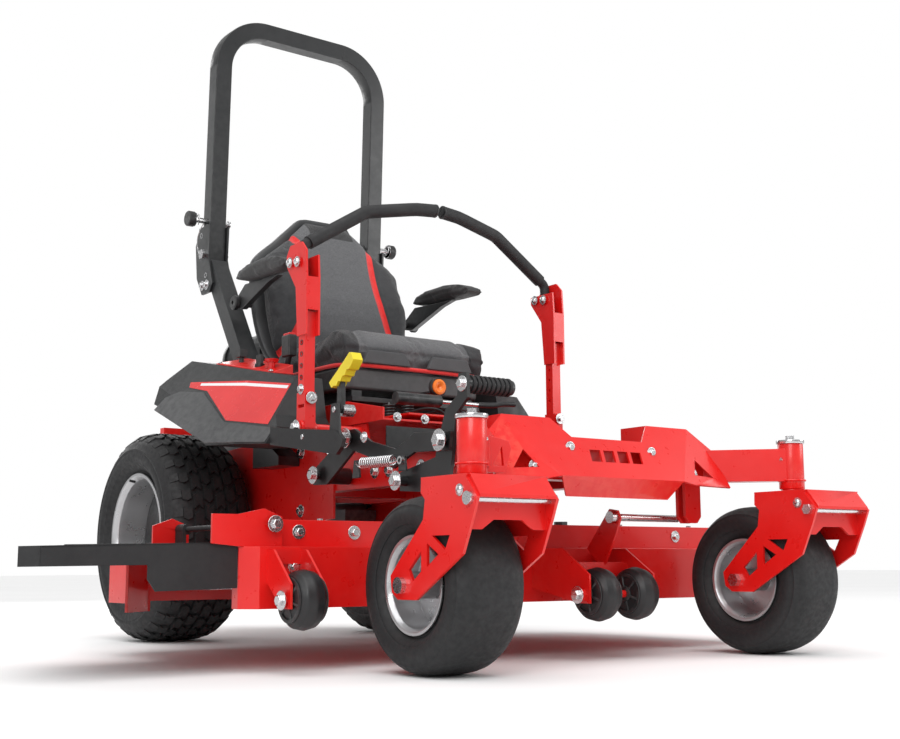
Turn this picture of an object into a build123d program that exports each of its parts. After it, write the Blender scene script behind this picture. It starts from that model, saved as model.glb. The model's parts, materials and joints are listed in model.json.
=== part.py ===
"""Zero turn riding mower with a 60 inch side discharge deck, modelled as an assembly of separate pieces.

Machine frame: Y = 0 on the drive axle, X = 0 on the centre plane, Z = 0 on the ground.
The front is -Y, so the operator's right hand side, with the discharge chute, is -X.
Every piece is moved by ROW_SHIFT at the end, which puts the origin under the middle of the bounding box.
"""

import os
from math import cos, hypot, radians, sin

from build123d import *

# ---- driving dimensions, mm ------------------------------------------------------------------------------------------
CASTER_X = 454.0  # caster pivot, off the centre plane
CASTER_Y = -1484.0  # caster pivot, ahead of the drive axle
CASTER_TRAIL = 94.0  # caster axle behind its pivot
CASTER_R = 165.0  # 13 inch tyre
CASTER_W = 160.0
DRIVE_R = 285.0  # 22.5 inch tyre
DRIVE_W = 250.0
DRIVE_X = 380.0  # middle of the drive tyre
RAIL_IN, RAIL_OUT = 185.0, 235.0  # frame rail, inner and outer side
RAIL_LOW, RAIL_TOP = 384.0, 456.0
REAR_Y = 470.0  # back of the engine guard
DECK_HALF_W = 740.0
DECK_FRONT, DECK_REAR = -1150.0, -410.0
DECK_LOW, DECK_TOP = 120.0, 238.0
DECK_WALL = 5.0
SPINDLE_X, SPINDLE_Y = 470.0, -675.0  # outer spindles
SPINDLE_MID_Y = -885.0
BLADE_R = 252.0
CHUTE_AXIS_X, CHUTE_AXIS_Z = -672.0, 282.0
CHUTE_TIP_X = -1150.0
ROLLER_R = 57.0  # anti-scalp rollers
ROLLER_Z = 138.0
LEVER_X, LEVER_Y = 385.0, -752.0
LEVER_BASE_Z = 520.0
SWING_Z = 590.0
ROPS_HALF_W = 297.0
ROPS_TUBE = 50.0
ROPS_WALL = 4.0
HINGE_Y, HINGE_Z = 2.0, 1105.0  # roll bar fold axis
HOOP_TOP_Z, HOOP_TOP_Y = 1845.0, -26.0
SEAT_HALF_W = 232.0
BACK_PIVOT_Y, BACK_PIVOT_Z = -262.0, 745.0
ARM_PIVOT_Y, ARM_PIVOT_Z = -205.0, 925.0
LIFT_X = 330.0  # plane of the deck lift link
PEDAL_PIVOT = (-1080.0, 380.0)
BELL_PIVOT = (-710.0, 415.0)
LIFT_ARM = (-154.0, 75.0)  # same vector on the pedal and on the bell crank, so they make a parallelogram
BRAKE_PIVOT = (-905.0, 548.0)
BRAKE_X = 382.0
THROTTLE_AT = (-352.0, -350.0)
KEY_AT = (-350.0, -449.0)
CLUTCH_AT = (-345.0, -505.0)
FORK_FRONT = -135.0  # foremost point of the fork, from its pivot
RUN_CLEARANCE = 0.05  # radial, shaft in its hole

MIN_Y = CASTER_Y + FORK_FRONT
ROW_SHIFT = Pos(-(CHUTE_TIP_X + DECK_HALF_W) / 2, -(MIN_Y + REAR_Y) / 2, 0)


# ---- small helpers ---------------------------------------------------------------------------------------------------
def block(x0, x1, y0, y1, z0, z1):
    """Box between two corners."""
    return Pos((x0 + x1) / 2, (y0 + y1) / 2, (z0 + z1) / 2) * Box(abs(x1 - x0), abs(y1 - y0), abs(z1 - z0))


def plate_x(points, x0, x1):
    """Outline of (y, z) points, from x0 to x1."""
    return Pos(x0, 0, 0) * extrude(Plane.YZ * Polygon(*points, align=None), x1 - x0, dir=(1, 0, 0))


def plate_y(points, y0, y1):
    """Outline of (x, z) points, from y0 to y1."""
    return Pos(0, y0, 0) * extrude(Plane.XZ * Polygon(*points, align=None), y1 - y0, dir=(0, 1, 0))


def plate_z(points, z0, z1):
    """Outline of (x, y) points, from z0 to z1."""
    return Pos(0, 0, z0) * extrude(Polygon(*points, align=None), z1 - z0, dir=(0, 0, 1))


def rod_x(x0, x1, y, z, r):
    """Round bar along X."""
    return Pos((x0 + x1) / 2, y, z) * Rot(0, 90, 0) * Cylinder(r, abs(x1 - x0))


def rod_y(x, y0, y1, z, r):
    """Round bar along Y."""
    return Pos(x, (y0 + y1) / 2, z) * Rot(90, 0, 0) * Cylinder(r, abs(y1 - y0))


def rod_z(x, y, z0, z1, r):
    """Round bar along Z."""
    return Pos(x, y, (z0 + z1) / 2) * Cylinder(r, abs(z1 - z0))


def hex_x(x0, x1, y, z, across):
    """Hexagon head or nut along X."""
    return Pos(x0, y, z) * extrude(Plane.YZ * RegularPolygon(across / 2, 6, major_radius=False), x1 - x0)


def hex_z(x, y, z0, z1, across):
    """Hexagon head or nut along Z."""
    return Pos(x, y, z0) * extrude(RegularPolygon(across / 2, 6, major_radius=False), z1 - z0)


def turned_x(profile, x, y, z):
    """Solid of revolution about X, from (x, radius) points, centred on (x, y, z)."""
    outline = Plane.XY * Polygon(*profile, align=None)
    return Pos(x, y, z) * revolve(outline, Axis.X)


def slab(points, thickness, order=None):
    """Flat sheet in the plane of the first three of some 3-D points, thickened along its normal."""
    a, b, c = (Vector(*p) for p in points[:3])
    plane = Plane(origin=a, x_dir=b - a, z_dir=(b - a).cross(c - a))
    flat = [plane.to_local_coords(Vector(*points[n])) for n in order or range(len(points))]
    return extrude(plane * Polygon(*[(p.X, p.Y) for p in flat], align=None), thickness, dir=plane.z_dir)


def mirrored(shape):
    """The same piece on the other side of the machine."""
    return mirror(shape, about=Plane.YZ)


def both(shape):
    """The piece and its mirror image, as one group of separate solids."""
    return Compound([*shape.solids(), *mirrored(shape).solids()])


def group(*shapes):
    """Separate solids in one node."""
    return Compound([solid for shape in shapes for solid in shape.solids()])


# ---- frame -----------------------------------------------------------------------------------------------------------
def caster_arm():
    """Right caster tube, and the box arm that carries it."""
    inner = (-285.0, -1305.0)
    outer = (-CASTER_X, CASTER_Y)
    run = hypot(outer[0] - inner[0], outer[1] - inner[1])
    half = 25.0
    across = (-(outer[1] - inner[1]) / run * half, (outer[0] - inner[0]) / run * half)
    corners = [
        (inner[0] + across[0], inner[1] + across[1]),
        (outer[0] + across[0], outer[1] + across[1]),
        (outer[0] - across[0], outer[1] - across[1]),
        (inner[0] - across[0], inner[1] - across[1]),
    ]
    return plate_z(corners, RAIL_LOW, RAIL_TOP)


def front_frame():
    """Front cross tube, both caster arms and caster tubes, and the deck hangers, welded into one piece."""
    cross = block(-318, 318, -1358, -1308, RAIL_LOW, RAIL_TOP)
    arm = caster_arm()
    tube = rod_z(-CASTER_X, CASTER_Y, 366, 468, 28)
    weld = cross + arm + mirrored(arm) + tube + mirrored(tube)
    gusset = plate_y([(-400, 449), (-332, 436), (-327, 423), (-343, 375), (-400, 375)], -1443, -1437)
    weld += gusset - plate_y([(-372, 388), (-350, 426), (-346, 388)], -1450, -1430)
    hanger = plate_y([(262, 306), (274, 292), (300, 292), (312, 306), (312, RAIL_LOW), (262, RAIL_LOW)], -1338, -1330)
    weld += hanger + Pos(0, 22, 0) * hanger
    weld += block(-335, -288, -1338, -1308, 380, RAIL_LOW)
    for side in (-1, 1):
        weld -= rod_z(side * CASTER_X, CASTER_Y, 360, 480, 15 + RUN_CLEARANCE)
    return weld


def main_frame():
    """Rear frame: two rails, cross members, and the side plates that carry the transaxles."""
    rail = block(-RAIL_OUT, -RAIL_IN, -1308, REAR_Y - 30, RAIL_LOW, RAIL_TOP)
    plate = plate_x(
        [(-640, 316), (-420, 300), (60, 300), (120, RAIL_LOW), (120, 520), (-420, 540), (-560, 500), (-640, RAIL_TOP)],
        -241,
        -RAIL_OUT,
    )
    weld = rail + mirrored(rail) + plate + mirrored(plate)
    for y in (-1180, -930, -330, 380):
        weld += block(-RAIL_IN, RAIL_IN, y, y + 50, RAIL_LOW + 6, RAIL_TOP - 6)
    stub = plate_x([(-800, RAIL_TOP), (-705, RAIL_TOP), (-725, 539), (-780, 539)], -RAIL_OUT, -RAIL_OUT + 6)
    stub += rod_x(-LEVER_X - 20.6, -RAIL_OUT, LEVER_Y, LEVER_BASE_Z, 9)
    stub += rod_x(-LEVER_X - 27, -LEVER_X - 20.6, LEVER_Y, LEVER_BASE_Z, 15)
    stub += rod_x(-LEVER_X + 20.6, -RAIL_OUT, LEVER_Y, LEVER_BASE_Z, 12)
    weld += stub + mirrored(stub) + rear_guard()
    weld -= rod_z(0, 452, 380, 430, 10)
    weld -= both(rod_x(-250, -230, 0, DRIVE_R, 40))
    weld -= both(rod_x(-LIFT_X, -195, *BELL_PIVOT, 10 + RUN_CLEARANCE))
    return weld


def front_cover():
    """Folded sheet over the front of the foot well, raised over each side and low in the middle."""
    top_out, top_in, notch = (269, -1341, 504), (140, -1341, 504), (102, -1365.4, 464)
    fold, low = (176, -1418, 378), (146, -1395, 338)

    def left(p):
        return (-p[0], p[1], p[2])

    thick = 4
    face = slab([left(top_out), left(top_in), left(notch), notch, top_in, top_out, fold, left(fold)], thick)
    lower = slab([left(fold), fold, low, left(low)], thick)
    wing_top, wing_low, wing_in = (330, -1362, 455), (335, -1401, 366), (213, -1409, 366)
    wing = slab([top_out, wing_top, fold, wing_in, wing_low], thick, [0, 1, 4, 3, 2])
    wing -= plate_y([(248, 430), (224, 394), (288, 390)], -1480, -1340)
    hump = block(140, 269, -1341, -1262, 500, 504) + block(140, 144, -1341, -1262, 464, 504)
    hump += block(265, 269, -1341, -1262, 464, 504)
    sheet = face + lower + wing + mirrored(wing) + hump + mirrored(hump)
    sheet -= front_frame()
    for x in (-59, -20, 20, 59):
        slot = plate_y([(x - 15, 412), (x + 15, 412), (x + 22, 438), (x - 8, 438)], -1440, -1340)
        sheet -= slot
    return sheet


def foot_platform():
    """Steel floor for the feet, with a raised heel edge."""
    pan = block(-262, 262, -1300, -905, RAIL_TOP, RAIL_TOP + 4)
    heel = block(-262, 262, -909, -905, RAIL_TOP + 4, 520)
    return pan + heel


def seat_pan():
    """Open-fronted box under the seat that carries the suspension."""
    floor = block(-240, 240, -860, -215, 540, 545)
    side = plate_x([(-860, 545), (-215, 545), (-215, 600), (-700, 600), (-860, 570)], -240, -235)
    legs = block(-230, -190, -700, -660, RAIL_TOP, 540) + block(-230, -190, -300, -260, RAIL_TOP, 540)
    return floor + side + mirrored(side) + legs + mirrored(legs) + block(-235, 235, -220, -215, 545, 600)


# ---- fenders and console ---------------------------------------------------------------------------------------------
FENDER_IN = -275.0
RIDGE_REAR, RIDGE_FRONT = (-420.0, -191.0, 752.0), (-350.0, -638.0, 661.0)  # outer edge of the pod's roof
FENDER_SIDE = (-470.0, -239.0, 661.0)  # a third point of its sloping outer side
ROOF_SLOPE = (RIDGE_REAR[2] - RIDGE_FRONT[2]) / (RIDGE_REAR[1] - RIDGE_FRONT[1])


def roof_z(y):
    """Height of the pod's roof at y."""
    return RIDGE_REAR[2] + (y - RIDGE_REAR[1]) * ROOF_SLOPE


def fender_nose():
    """Thin trim that runs forward from the pod, outside the lever, and narrows to its tip."""
    plan = [(-446, -690.3), (-438, -720), (-402, -915), (-399, -940), (-389, -940), (-392, -915), (-424, -715), (-430, -690.3)]
    profile = [(-690.3, 527), (-713, 521), (-915, 501), (-940, 480), (-934, 462), (-916, 446), (-690.3, 483)]
    return plate_z(plan, 430, 570) & plate_x(profile, -480, -380)


def fender(right=True):
    """Moulded side pod with the fuel tank inside, over the drive wheel."""
    profile = [
        (RIDGE_REAR[1], RIDGE_REAR[2]), (RIDGE_FRONT[1], RIDGE_FRONT[2]), (-660, 560), (-690, 528), (-690, 486),
        (-430, 500), (-168, 616), (-99, 639), (-144, 701),
    ]
    pod = plate_x(profile, -486, FENDER_IN)
    a, b, c = Vector(*RIDGE_REAR), Vector(*RIDGE_FRONT), Vector(*FENDER_SIDE)
    pod = split(pod, bisect_by=Plane(origin=a, z_dir=(c - a).cross(b - a)), keep=Keep.BOTTOM)
    pod -= plate_x([(-95, 440), (-95, 640), (-168, 618), (-430, 524), (-700, 486), (-700, 440)], -306, FENDER_IN + 1)
    pod -= rops_post_bar(2.0)
    throttle_x, throttle_y = THROTTLE_AT
    pod -= block(throttle_x - 5, throttle_x + 5, throttle_y - 47, throttle_y + 47, roof_z(throttle_y) - 28, 800)
    nose = fender_nose()
    if not right:
        return mirrored(group(pod, nose))
    y, z = BRAKE_PIVOT
    nose += plate_x([(y - 25, 470), (y + 25, 470), (y + 14, z + 14), (y - 14, z + 14)], -400, -394)
    nose += rod_x(-394, -BRAKE_X + 36, y, z, 7)
    return group(pod, nose)


def console_panel():
    """Control panel plate on the right pod."""
    lift = 0.4
    ends = [(-290, roof_z(-290) + lift), (-545, roof_z(-545) + lift)]
    panel = plate_x([ends[0], ends[1], (ends[1][0], ends[1][1] + 3), (ends[0][0], ends[0][1] + 3)], -420, -290)
    panel &= plate_z([(-396, -290), (-357, -545), (-302, -545), (-302, -290)], 600, 800)
    x, y = THROTTLE_AT
    return panel - block(x - 5, x + 5, y - 47, y + 47, 600, 800)


# ---- roll bar --------------------------------------------------------------------------------------------------------
POST_BASE = (-420.0, 470.0)
POST_TOP = (-16.0, 1070.0)


def rops_post_bar(grow=0.0):
    """Right lower post, leaning back, with an optional margin for the holes it passes through."""
    run = hypot(POST_TOP[0] - POST_BASE[0], POST_TOP[1] - POST_BASE[1])
    along = ((POST_TOP[0] - POST_BASE[0]) / run, (POST_TOP[1] - POST_BASE[1]) / run)
    half = ROPS_TUBE / 2 + grow
    side = (-along[1] * half, along[0] * half)
    outline = [
        (POST_BASE[0] + side[0], POST_BASE[1] + side[1]),
        (POST_TOP[0] + side[0], POST_TOP[1] + side[1]),
        (POST_TOP[0] - side[0], POST_TOP[1] - side[1]),
        (POST_BASE[0] - side[0], POST_BASE[1] - side[1]),
    ]
    return plate_x(outline, -ROPS_HALF_W - grow, -ROPS_HALF_W + ROPS_TUBE + grow)


def rops_posts():
    """Both lower posts with their hinge plates and foot brackets."""
    post = rops_post_bar()
    cheek = [(-36, 1190), (36, 1190), (58, 1140), (46, 1040), (10, 985), (-40, 985), (-60, 1010), (-30, 1090)]
    outer = plate_x(cheek, -ROPS_HALF_W - 6.3, -ROPS_HALF_W - 0.3)
    inner = plate_x(cheek, -ROPS_HALF_W + ROPS_TUBE + 0.3, -ROPS_HALF_W + ROPS_TUBE + 6.3)
    gap = plate_x([(-60, 1010), (-40, 985), (10, 985), (20, 1000), (-20, 1040)], -ROPS_HALF_W - 0.3, -ROPS_HALF_W)
    tie_out = gap
    tie_in = Pos(ROPS_TUBE + 0.3, 0, 0) * gap
    foot = plate_x([(-470, RAIL_TOP), (-330, RAIL_TOP), (-330, 520), (-400, 520), (-470, 480)], -303, -241)
    one = post + outer + inner + tie_out + tie_in + foot
    return both(one - rod_x(-320, -230, HINGE_Y, HINGE_Z, 9 + RUN_CLEARANCE))


def rops_hoop():
    """Folding hoop of square tube, open at the bottom of its legs."""
    lean = (HOOP_TOP_Y - HINGE_Y) / (HOOP_TOP_Z - HINGE_Z)
    height = hypot(HOOP_TOP_Y - HINGE_Y, HOOP_TOP_Z - HINGE_Z)
    plane = Plane(origin=(0, HINGE_Y, HINGE_Z), x_dir=(1, 0, 0), z_dir=(0, -1, lean))
    bottom = -30.0
    bend = 165.0

    def arch(inset, low):
        half = ROPS_HALF_W - inset
        top = height - inset
        radius = bend - inset
        line = Polyline((-half, low), (-half, top - radius))
        line += RadiusArc((-half, top - radius), (-half + radius, top), radius)
        line += Line((-half + radius, top), (half - radius, top))
        line += RadiusArc((half - radius, top), (half, top - radius), radius)
        line += Polyline((half, top - radius), (half, low), (-half, low))
        return make_face(line)

    outline = plane * (arch(0, bottom) - arch(ROPS_TUBE, bottom - 50))
    core = plane * (arch(ROPS_WALL, bottom - 5) - arch(ROPS_TUBE - ROPS_WALL, bottom - 60))
    tube = extrude(outline, ROPS_TUBE / 2, both=True) - extrude(core, ROPS_TUBE / 2 - ROPS_WALL, both=True)
    for side in (-1, 1):
        x = side * (ROPS_HALF_W - ROPS_TUBE / 2)
        tube -= rod_x(x - 40, x + 40, HINGE_Y, HINGE_Z, 9 + RUN_CLEARANCE)
        tube -= rod_x(x - 40, x + 40, HINGE_Y - 4, HINGE_Z + 100, 8 + RUN_CLEARANCE)
    return tube


def rops_pins():
    """Latch pins with round knobs, just above the hinge plates."""
    y, z = HINGE_Y - 4, HINGE_Z + 100
    pin = rod_x(-ROPS_HALF_W - 40, -ROPS_HALF_W + ROPS_TUBE + 16, y, z, 8)
    knob = rod_x(-ROPS_HALF_W - 62, -ROPS_HALF_W - 40, y, z, 21)
    clip = rod_x(-ROPS_HALF_W + ROPS_TUBE + 16, -ROPS_HALF_W + ROPS_TUBE + 22, y, z, 11)
    return both(pin + knob + clip)


def hinge_bolts():
    """Bolts that the hoop folds on."""
    bolt = rod_x(-ROPS_HALF_W - 7, -ROPS_HALF_W + ROPS_TUBE + 7, HINGE_Y, HINGE_Z, 9)
    bolt += hex_x(-ROPS_HALF_W - 16, -ROPS_HALF_W - 6.9, HINGE_Y, HINGE_Z, 27)
    bolt += hex_x(-ROPS_HALF_W + ROPS_TUBE + 6.9, -ROPS_HALF_W + ROPS_TUBE + 16, HINGE_Y, HINGE_Z, 27)
    return both(bolt)


# ---- engine and drive ------------------------------------------------------------------------------------------------
def engine_block():
    """Vertical shaft V twin: crankcase, two finned cylinders and the output shaft."""
    case = rod_z(0, 150, RAIL_TOP, 640, 150) + rod_z(0, 150, 250, RAIL_TOP, 16) + rod_z(0, 150, 270, 300, 60)
    bank = block(-66, 66, 0, 170, 0, 130)
    for fin in range(5):
        bank += block(-76, 76, 20 + 28 * fin, 30 + 28 * fin, -6, 136)
    for angle in (45, -45):
        case += Pos(0, 150, 480) * Rot(0, 0, angle) * bank
    case += block(-RAIL_IN, RAIL_IN, 90, 210, RAIL_TOP - 8, RAIL_TOP + 8)
    return case


def engine_covers():
    """Fan shroud and the canister air cleaner on top of it."""
    shroud = rod_z(0, 150, 640, 730, 165) + rod_z(0, 150, 730, 760, 110)
    shroud += block(-165, 165, 150, 300, 640, 720)
    cleaner = rod_y(-30, 30, 250, 845, 70) + rod_y(-30, 250, 268, 845, 76)
    neck = block(-60, -10, 80, 130, 760, 790)
    return group(shroud, cleaner + neck)


def muffler():
    """Exhaust silencer and its tail pipe, behind the engine."""
    return rod_x(-150, 150, 375, 560, 52) + rod_x(150, 200, 375, 560, 16)


def rear_guard():
    """Tube guard round the back of the engine."""
    path = [(-RAIL_OUT, 440), (-RAIL_OUT, REAR_Y), (RAIL_OUT, REAR_Y), (RAIL_OUT, 440)]
    bar = plate_z(path, RAIL_LOW, RAIL_LOW + 40)
    for x in (-220, 190):
        bar += block(x, x + 30, 440, REAR_Y, RAIL_LOW + 40, 640)
    bar += block(-220, 220, 440, REAR_Y, 610, 640)
    return bar


def transaxles():
    """Right and left hydrostatic transaxles with their fan pulleys."""
    one = block(-228, -120, -110, 90, 210, 366) + rod_z(-174, -40, 366, 380, 58)
    one += rod_x(-330, -228, 0, DRIVE_R, 24)
    return both(one)


# ---- drive wheels ----------------------------------------------------------------------------------------------------
def drive_tyre():
    """Right drive tyre: a hollow carcass, open towards its rim."""
    h = DRIVE_W / 2
    outer = [
        (-h + 29, 160), (-h + 29, 176), (-h + 7, 200), (-h, 232), (-h + 8, 262), (-h + 26, 278), (-h + 60, DRIVE_R),
    ]
    outer += [(-x, r) for x, r in reversed(outer)]
    inner = [(h - 46, 160), (h - 28, 195), (h - 20, 225), (h - 34, 252), (h - 62, 262)]
    inner += [(-x, r) for x, r in reversed(inner)]
    return turned_x(outer + inner, -DRIVE_X, 0, DRIVE_R)


def drive_rim():
    """Right drive wheel rim: barrel, dished disc, hub and five wheel nuts."""
    h = DRIVE_W / 2 - 18
    barrel = [
        (-h, 172), (-h + 5, 172), (-h + 9, 160), (h - 9, 160), (h - 5, 172), (h, 172),
        (h, 164), (h - 12, 154), (30, 150), (22, 150), (22, 26), (12, 26), (12, 150), (-h + 14, 154), (-h, 164),
    ]
    rim = turned_x(barrel, -DRIVE_X, 0, DRIVE_R)
    hub = rod_x(-DRIVE_X - 10, -DRIVE_X + 50, 0, DRIVE_R, 38) - rod_x(-DRIVE_X - 20, -DRIVE_X + 60, 0, DRIVE_R, 24.05)
    rim += hub
    for n in range(5):
        a = radians(72 * n)
        y, z = 58 * cos(a), DRIVE_R + 58 * sin(a)
        rim += hex_x(-DRIVE_X + 1, -DRIVE_X + 13, y, z, 22)
    return rim


# ---- casters ---------------------------------------------------------------------------------------------------------
def fork():
    """Right caster fork: two legs with lightening holes, folded channel top, brace and stem."""
    x, y0 = -CASTER_X, CASTER_Y
    half, steel = 86.0, 6.0

    def shape(points, a, b):
        return plate_x([(y0 + y, z) for y, z in points], x + a, x + b)

    leg_outline = [(-104, 352), (32, 352), (33, 330), (20, 318), (26, 282), (131, 182), (126, 152), (107, 139),
                   (48, 139), (-92, 220), (-122, 284), (FORK_FRONT, 316)]
    holes = [
        [(-1, 253), (-55, 253), (-41, 227)],
        [(14, 240), (-21, 220), (14, 198)],
        [(32, 226), (32, 190), (58, 172), (71, 193)],
    ]
    leg = shape(leg_outline, -half - steel, -half)
    for outline in holes:
        leg -= shape(outline, -half - steel - 1, -half + 1)
    leg_in = Pos(2 * half + steel, 0, 0) * leg
    cap_plate = shape([(-104, 352), (32, 352), (32, 358), (-107, 358)], -half - steel, half + steel)
    nose = shape([(-104, 352), (-107, 358), (FORK_FRONT, 322), (FORK_FRONT, 316), (-130, 316)], -half, half)
    arch = plate_y(
        [(x - half, 262), (x - 58, 262), (x - 32, 279), (x + 32, 279), (x + 58, 262), (x + half, 262),
         (x + half, 312), (x - half, 312)],
        y0 - 104,
        y0 - 98,
    )
    stem = rod_z(x, y0, 358, 466, 15)
    collar = rod_z(x, y0, 358, 366, 24)
    one = leg + leg_in + cap_plate + nose + arch + stem + collar
    one -= rod_x(x - 110, x + 110, y0 + CASTER_TRAIL, CASTER_R, 9.5 + RUN_CLEARANCE)
    one -= rod_x(x - 110, x + 110, y0 - 114, 315, 7)
    return one


def caster_axle():
    """Right caster axle bolt, and the two bolts that hold the fork's cross brace."""
    x, y, z = -CASTER_X, CASTER_Y + CASTER_TRAIL, CASTER_R
    axle = rod_x(x - 94, x + 94, y, z, 9.5) + rod_x(x - 102, x - 92, y, z, 15) + hex_x(x + 92, x + 104, y, z, 26)
    top = rod_x(x - 94, x + 94, CASTER_Y - 114, 315, 6.95)
    top += rod_x(x - 100, x - 92, CASTER_Y - 114, 315, 12) + hex_x(x + 92, x + 101, CASTER_Y - 114, 315, 20)
    return group(axle, top)


def caster_tyre():
    """Right caster tyre, smooth, hollow towards its rim."""
    h = CASTER_W / 2
    outer = [(-h + 20, 83), (-h + 20, 94), (-h + 2, 115), (-h, 135), (-h + 8, 152), (-h + 24, 162), (-h + 42, CASTER_R)]
    outer += [(-x, r) for x, r in reversed(outer)]
    inner = [(h - 34, 83), (h - 20, 108), (h - 15, 132), (h - 30, 150)]
    inner += [(-x, r) for x, r in reversed(inner)]
    return turned_x(outer + inner, -CASTER_X, CASTER_Y + CASTER_TRAIL, CASTER_R)


def caster_rim():
    """Right caster rim with its hub and grease seals."""
    h = CASTER_W / 2 - 12
    barrel = [(-h, 92), (-h + 4, 92), (-h + 6, 83), (h - 6, 83), (h - 4, 92), (h, 92), (h, 86), (h - 9, 79),
              (4, 76), (4, 24), (-4, 24), (-4, 76), (-h + 9, 79), (-h, 86)]
    x, y, z = -CASTER_X, CASTER_Y + CASTER_TRAIL, CASTER_R
    rim = turned_x(barrel, x, y, z) + rod_x(x - 85, x + 85, y, z, 25)
    return rim - rod_x(x - 90, x + 90, y, z, 9.5 + RUN_CLEARANCE)


def caster_caps():
    """Bright caps with a centre bolt, on both caster tubes."""
    cap = rod_z(-CASTER_X, CASTER_Y, 468, 476, 31) + hex_z(-CASTER_X, CASTER_Y, 476, 487, 17)
    return both(cap)


# ---- control levers --------------------------------------------------------------------------------------------------
def lever_hub():
    """Right lever's lower pivot block, with the pin its post swings outward on."""
    x, y = -LEVER_X, LEVER_Y
    hub = rod_x(x - 20, x + 20, y, LEVER_BASE_Z, 18) + block(x - 14, x + 14, y - 20, y + 20, LEVER_BASE_Z, SWING_Z - 22)
    hub -= rod_x(x - 25, x + 25, y, LEVER_BASE_Z, 9 + RUN_CLEARANCE)
    for front, back in ((-20, -14.3), (14.3, 20)):
        hub += block(x - 14, x + 14, y + front, y + back, SWING_Z - 22, SWING_Z + 14)
    return hub + rod_y(x, y - 25, y + 25, SWING_Z, 6)


def lever_post():
    """Right lever: lower post, and the bracket that clamps the grip tube."""
    x, y = -LEVER_X, LEVER_Y
    post = block(x - 14, x + 14, y - 14, y + 14, SWING_Z - 14, 798) - rod_y(x, y - 40, y + 40, SWING_Z, 6 + RUN_CLEARANCE)
    for n in range(4):
        post -= rod_x(x - 30, x + 30, y, 640 + 28 * n, 4)
    cheek = [(-28, 740), (14, 740), (24, 860), (66, 915), (70, 945), (52, 968), (-2, 968), (-24, 945), (-28, 880)]
    low_cheek = [(-28, 740), (14, 740), (24, 860), (66, 915), (66, 936), (-24, 936), (-28, 880)]
    outer = plate_x([(y + a, z) for a, z in cheek], x - 19, x - 14)
    inner = plate_x([(y + a, z) for a, z in low_cheek], x + 14, x + 19)
    bracket = outer + inner + block(x - 14, x + 14, y - 28, y - 24, 800, 880)
    for dy, z in ((8, 920), (44, 924)):
        bracket += rod_x(x - 24, x - 19, y + dy, z, 9) + rod_x(x + 19, x + 24, y + dy, z, 9)
    return group(post, bracket)


LEVER_TUBE_R = 13.0
LEVER_ROUTE = [(-385, -732, 806), (-385, -722, 966), (-206, -731, 1079), (-65, -752, 1104), (-7, -755, 1108)]


def lever_grip():
    """Right grip tube: up from its bracket, inward over the lap, ending at the middle."""
    path = FilletPolyline(*[Vector(*p) for p in LEVER_ROUTE], radius=20)
    start = Plane(origin=path @ 0, z_dir=path % 0)
    return sweep(start * Circle(LEVER_TUBE_R), path=path)


# ---- seat ------------------------------------------------------------------------------------------------------------
def seat_frame():
    """Suspension plate and slide rails under the cushion."""
    rails = block(-190, -160, -640, -270, 622, 640)
    plate = block(-200, 200, -660, -260, 610, 622)
    boot = block(-150, 150, -600, -330, 585, 610)
    ear = plate_x([(-280, 610), (-240, 610), (-248, 757), (-276, 757)], -224, -218) + block(-224, -200, -280, -240, 610, 622)
    ear -= rod_x(-230, -210, BACK_PIVOT_Y, BACK_PIVOT_Z, 7 + RUN_CLEARANCE)
    return plate + rails + mirrored(rails) + boot + ear + mirrored(ear)


def seat_cushion():
    """Seat cushion, crowned, on its pan."""
    profile = [(-655, 672), (-668, 745), (-655, 792), (-600, 808), (-420, 780), (-310, 786), (-288, 765), (-285, 672)]
    pad = plate_x(profile, -SEAT_HALF_W, SEAT_HALF_W)
    pad = fillet(pad.edges().filter_by(Axis.Z) + pad.edges().filter_by(Axis.X).group_by(Axis.Z)[-1], 12)
    return pad + block(-205, 205, -620, -290, 640.3, 674)


def seat_back():
    """Backrest: leaning shell with a shaped outline, wide at the elbows and narrow at the head."""
    side = [(-286, 812), (-300, 860), (-294, 950), (-256, 1062), (-206, 1178), (-176, 1214), (-142, 1208), (-128, 1150),
            (-140, 1040), (-176, 900), (-218, 762), (-264, 736)]
    outline = [(-205, 730), (-228, 800), (-243, 905), (-240, 1050), (-202, 1112), (-146, 1156), (-82, 1216),
               (82, 1216), (146, 1156), (202, 1112), (240, 1050), (243, 905), (228, 800), (205, 730)]
    pad = plate_x(side, -260, 260) & plate_y(outline, -420, 60)
    return pad + rod_x(-230, 230, BACK_PIVOT_Y, BACK_PIVOT_Z, 7)


def armrest():
    """Right armrest: padded top on a bent arm, pivoting at the backrest's side."""
    x0, x1 = -330.0, -262.0
    pad = plate_x([(-238, 992), (-300, 1016), (-400, 1018), (-490, 1004), (-532, 982), (-528, 960), (-440, 966), (-238, 974)], x0, x1)
    arm = plate_x([(-190, 910), (-230, 905), (-380, 955), (-440, 966), (-245, 974), (-195, 940)], -300, -270)
    hub = rod_x(-310, -250.5, ARM_PIVOT_Y, ARM_PIVOT_Z, 17)
    return group(pad, arm + hub)


# ---- mower deck ------------------------------------------------------------------------------------------------------
def deck_outline(inset=0.0):
    """Deck seen from above, as (x, y) points."""
    w, f, r = DECK_HALF_W - inset, DECK_FRONT + inset, DECK_REAR - inset
    return [(-w, f + 30), (-w + 30, f), (w - 60, f), (w, f + 60), (w, r - 60), (w - 60, r), (260, r),
            (150, r - 150), (-150, r - 150), (-260, r), (-w + 60, r), (-w, r - 60)]


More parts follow.
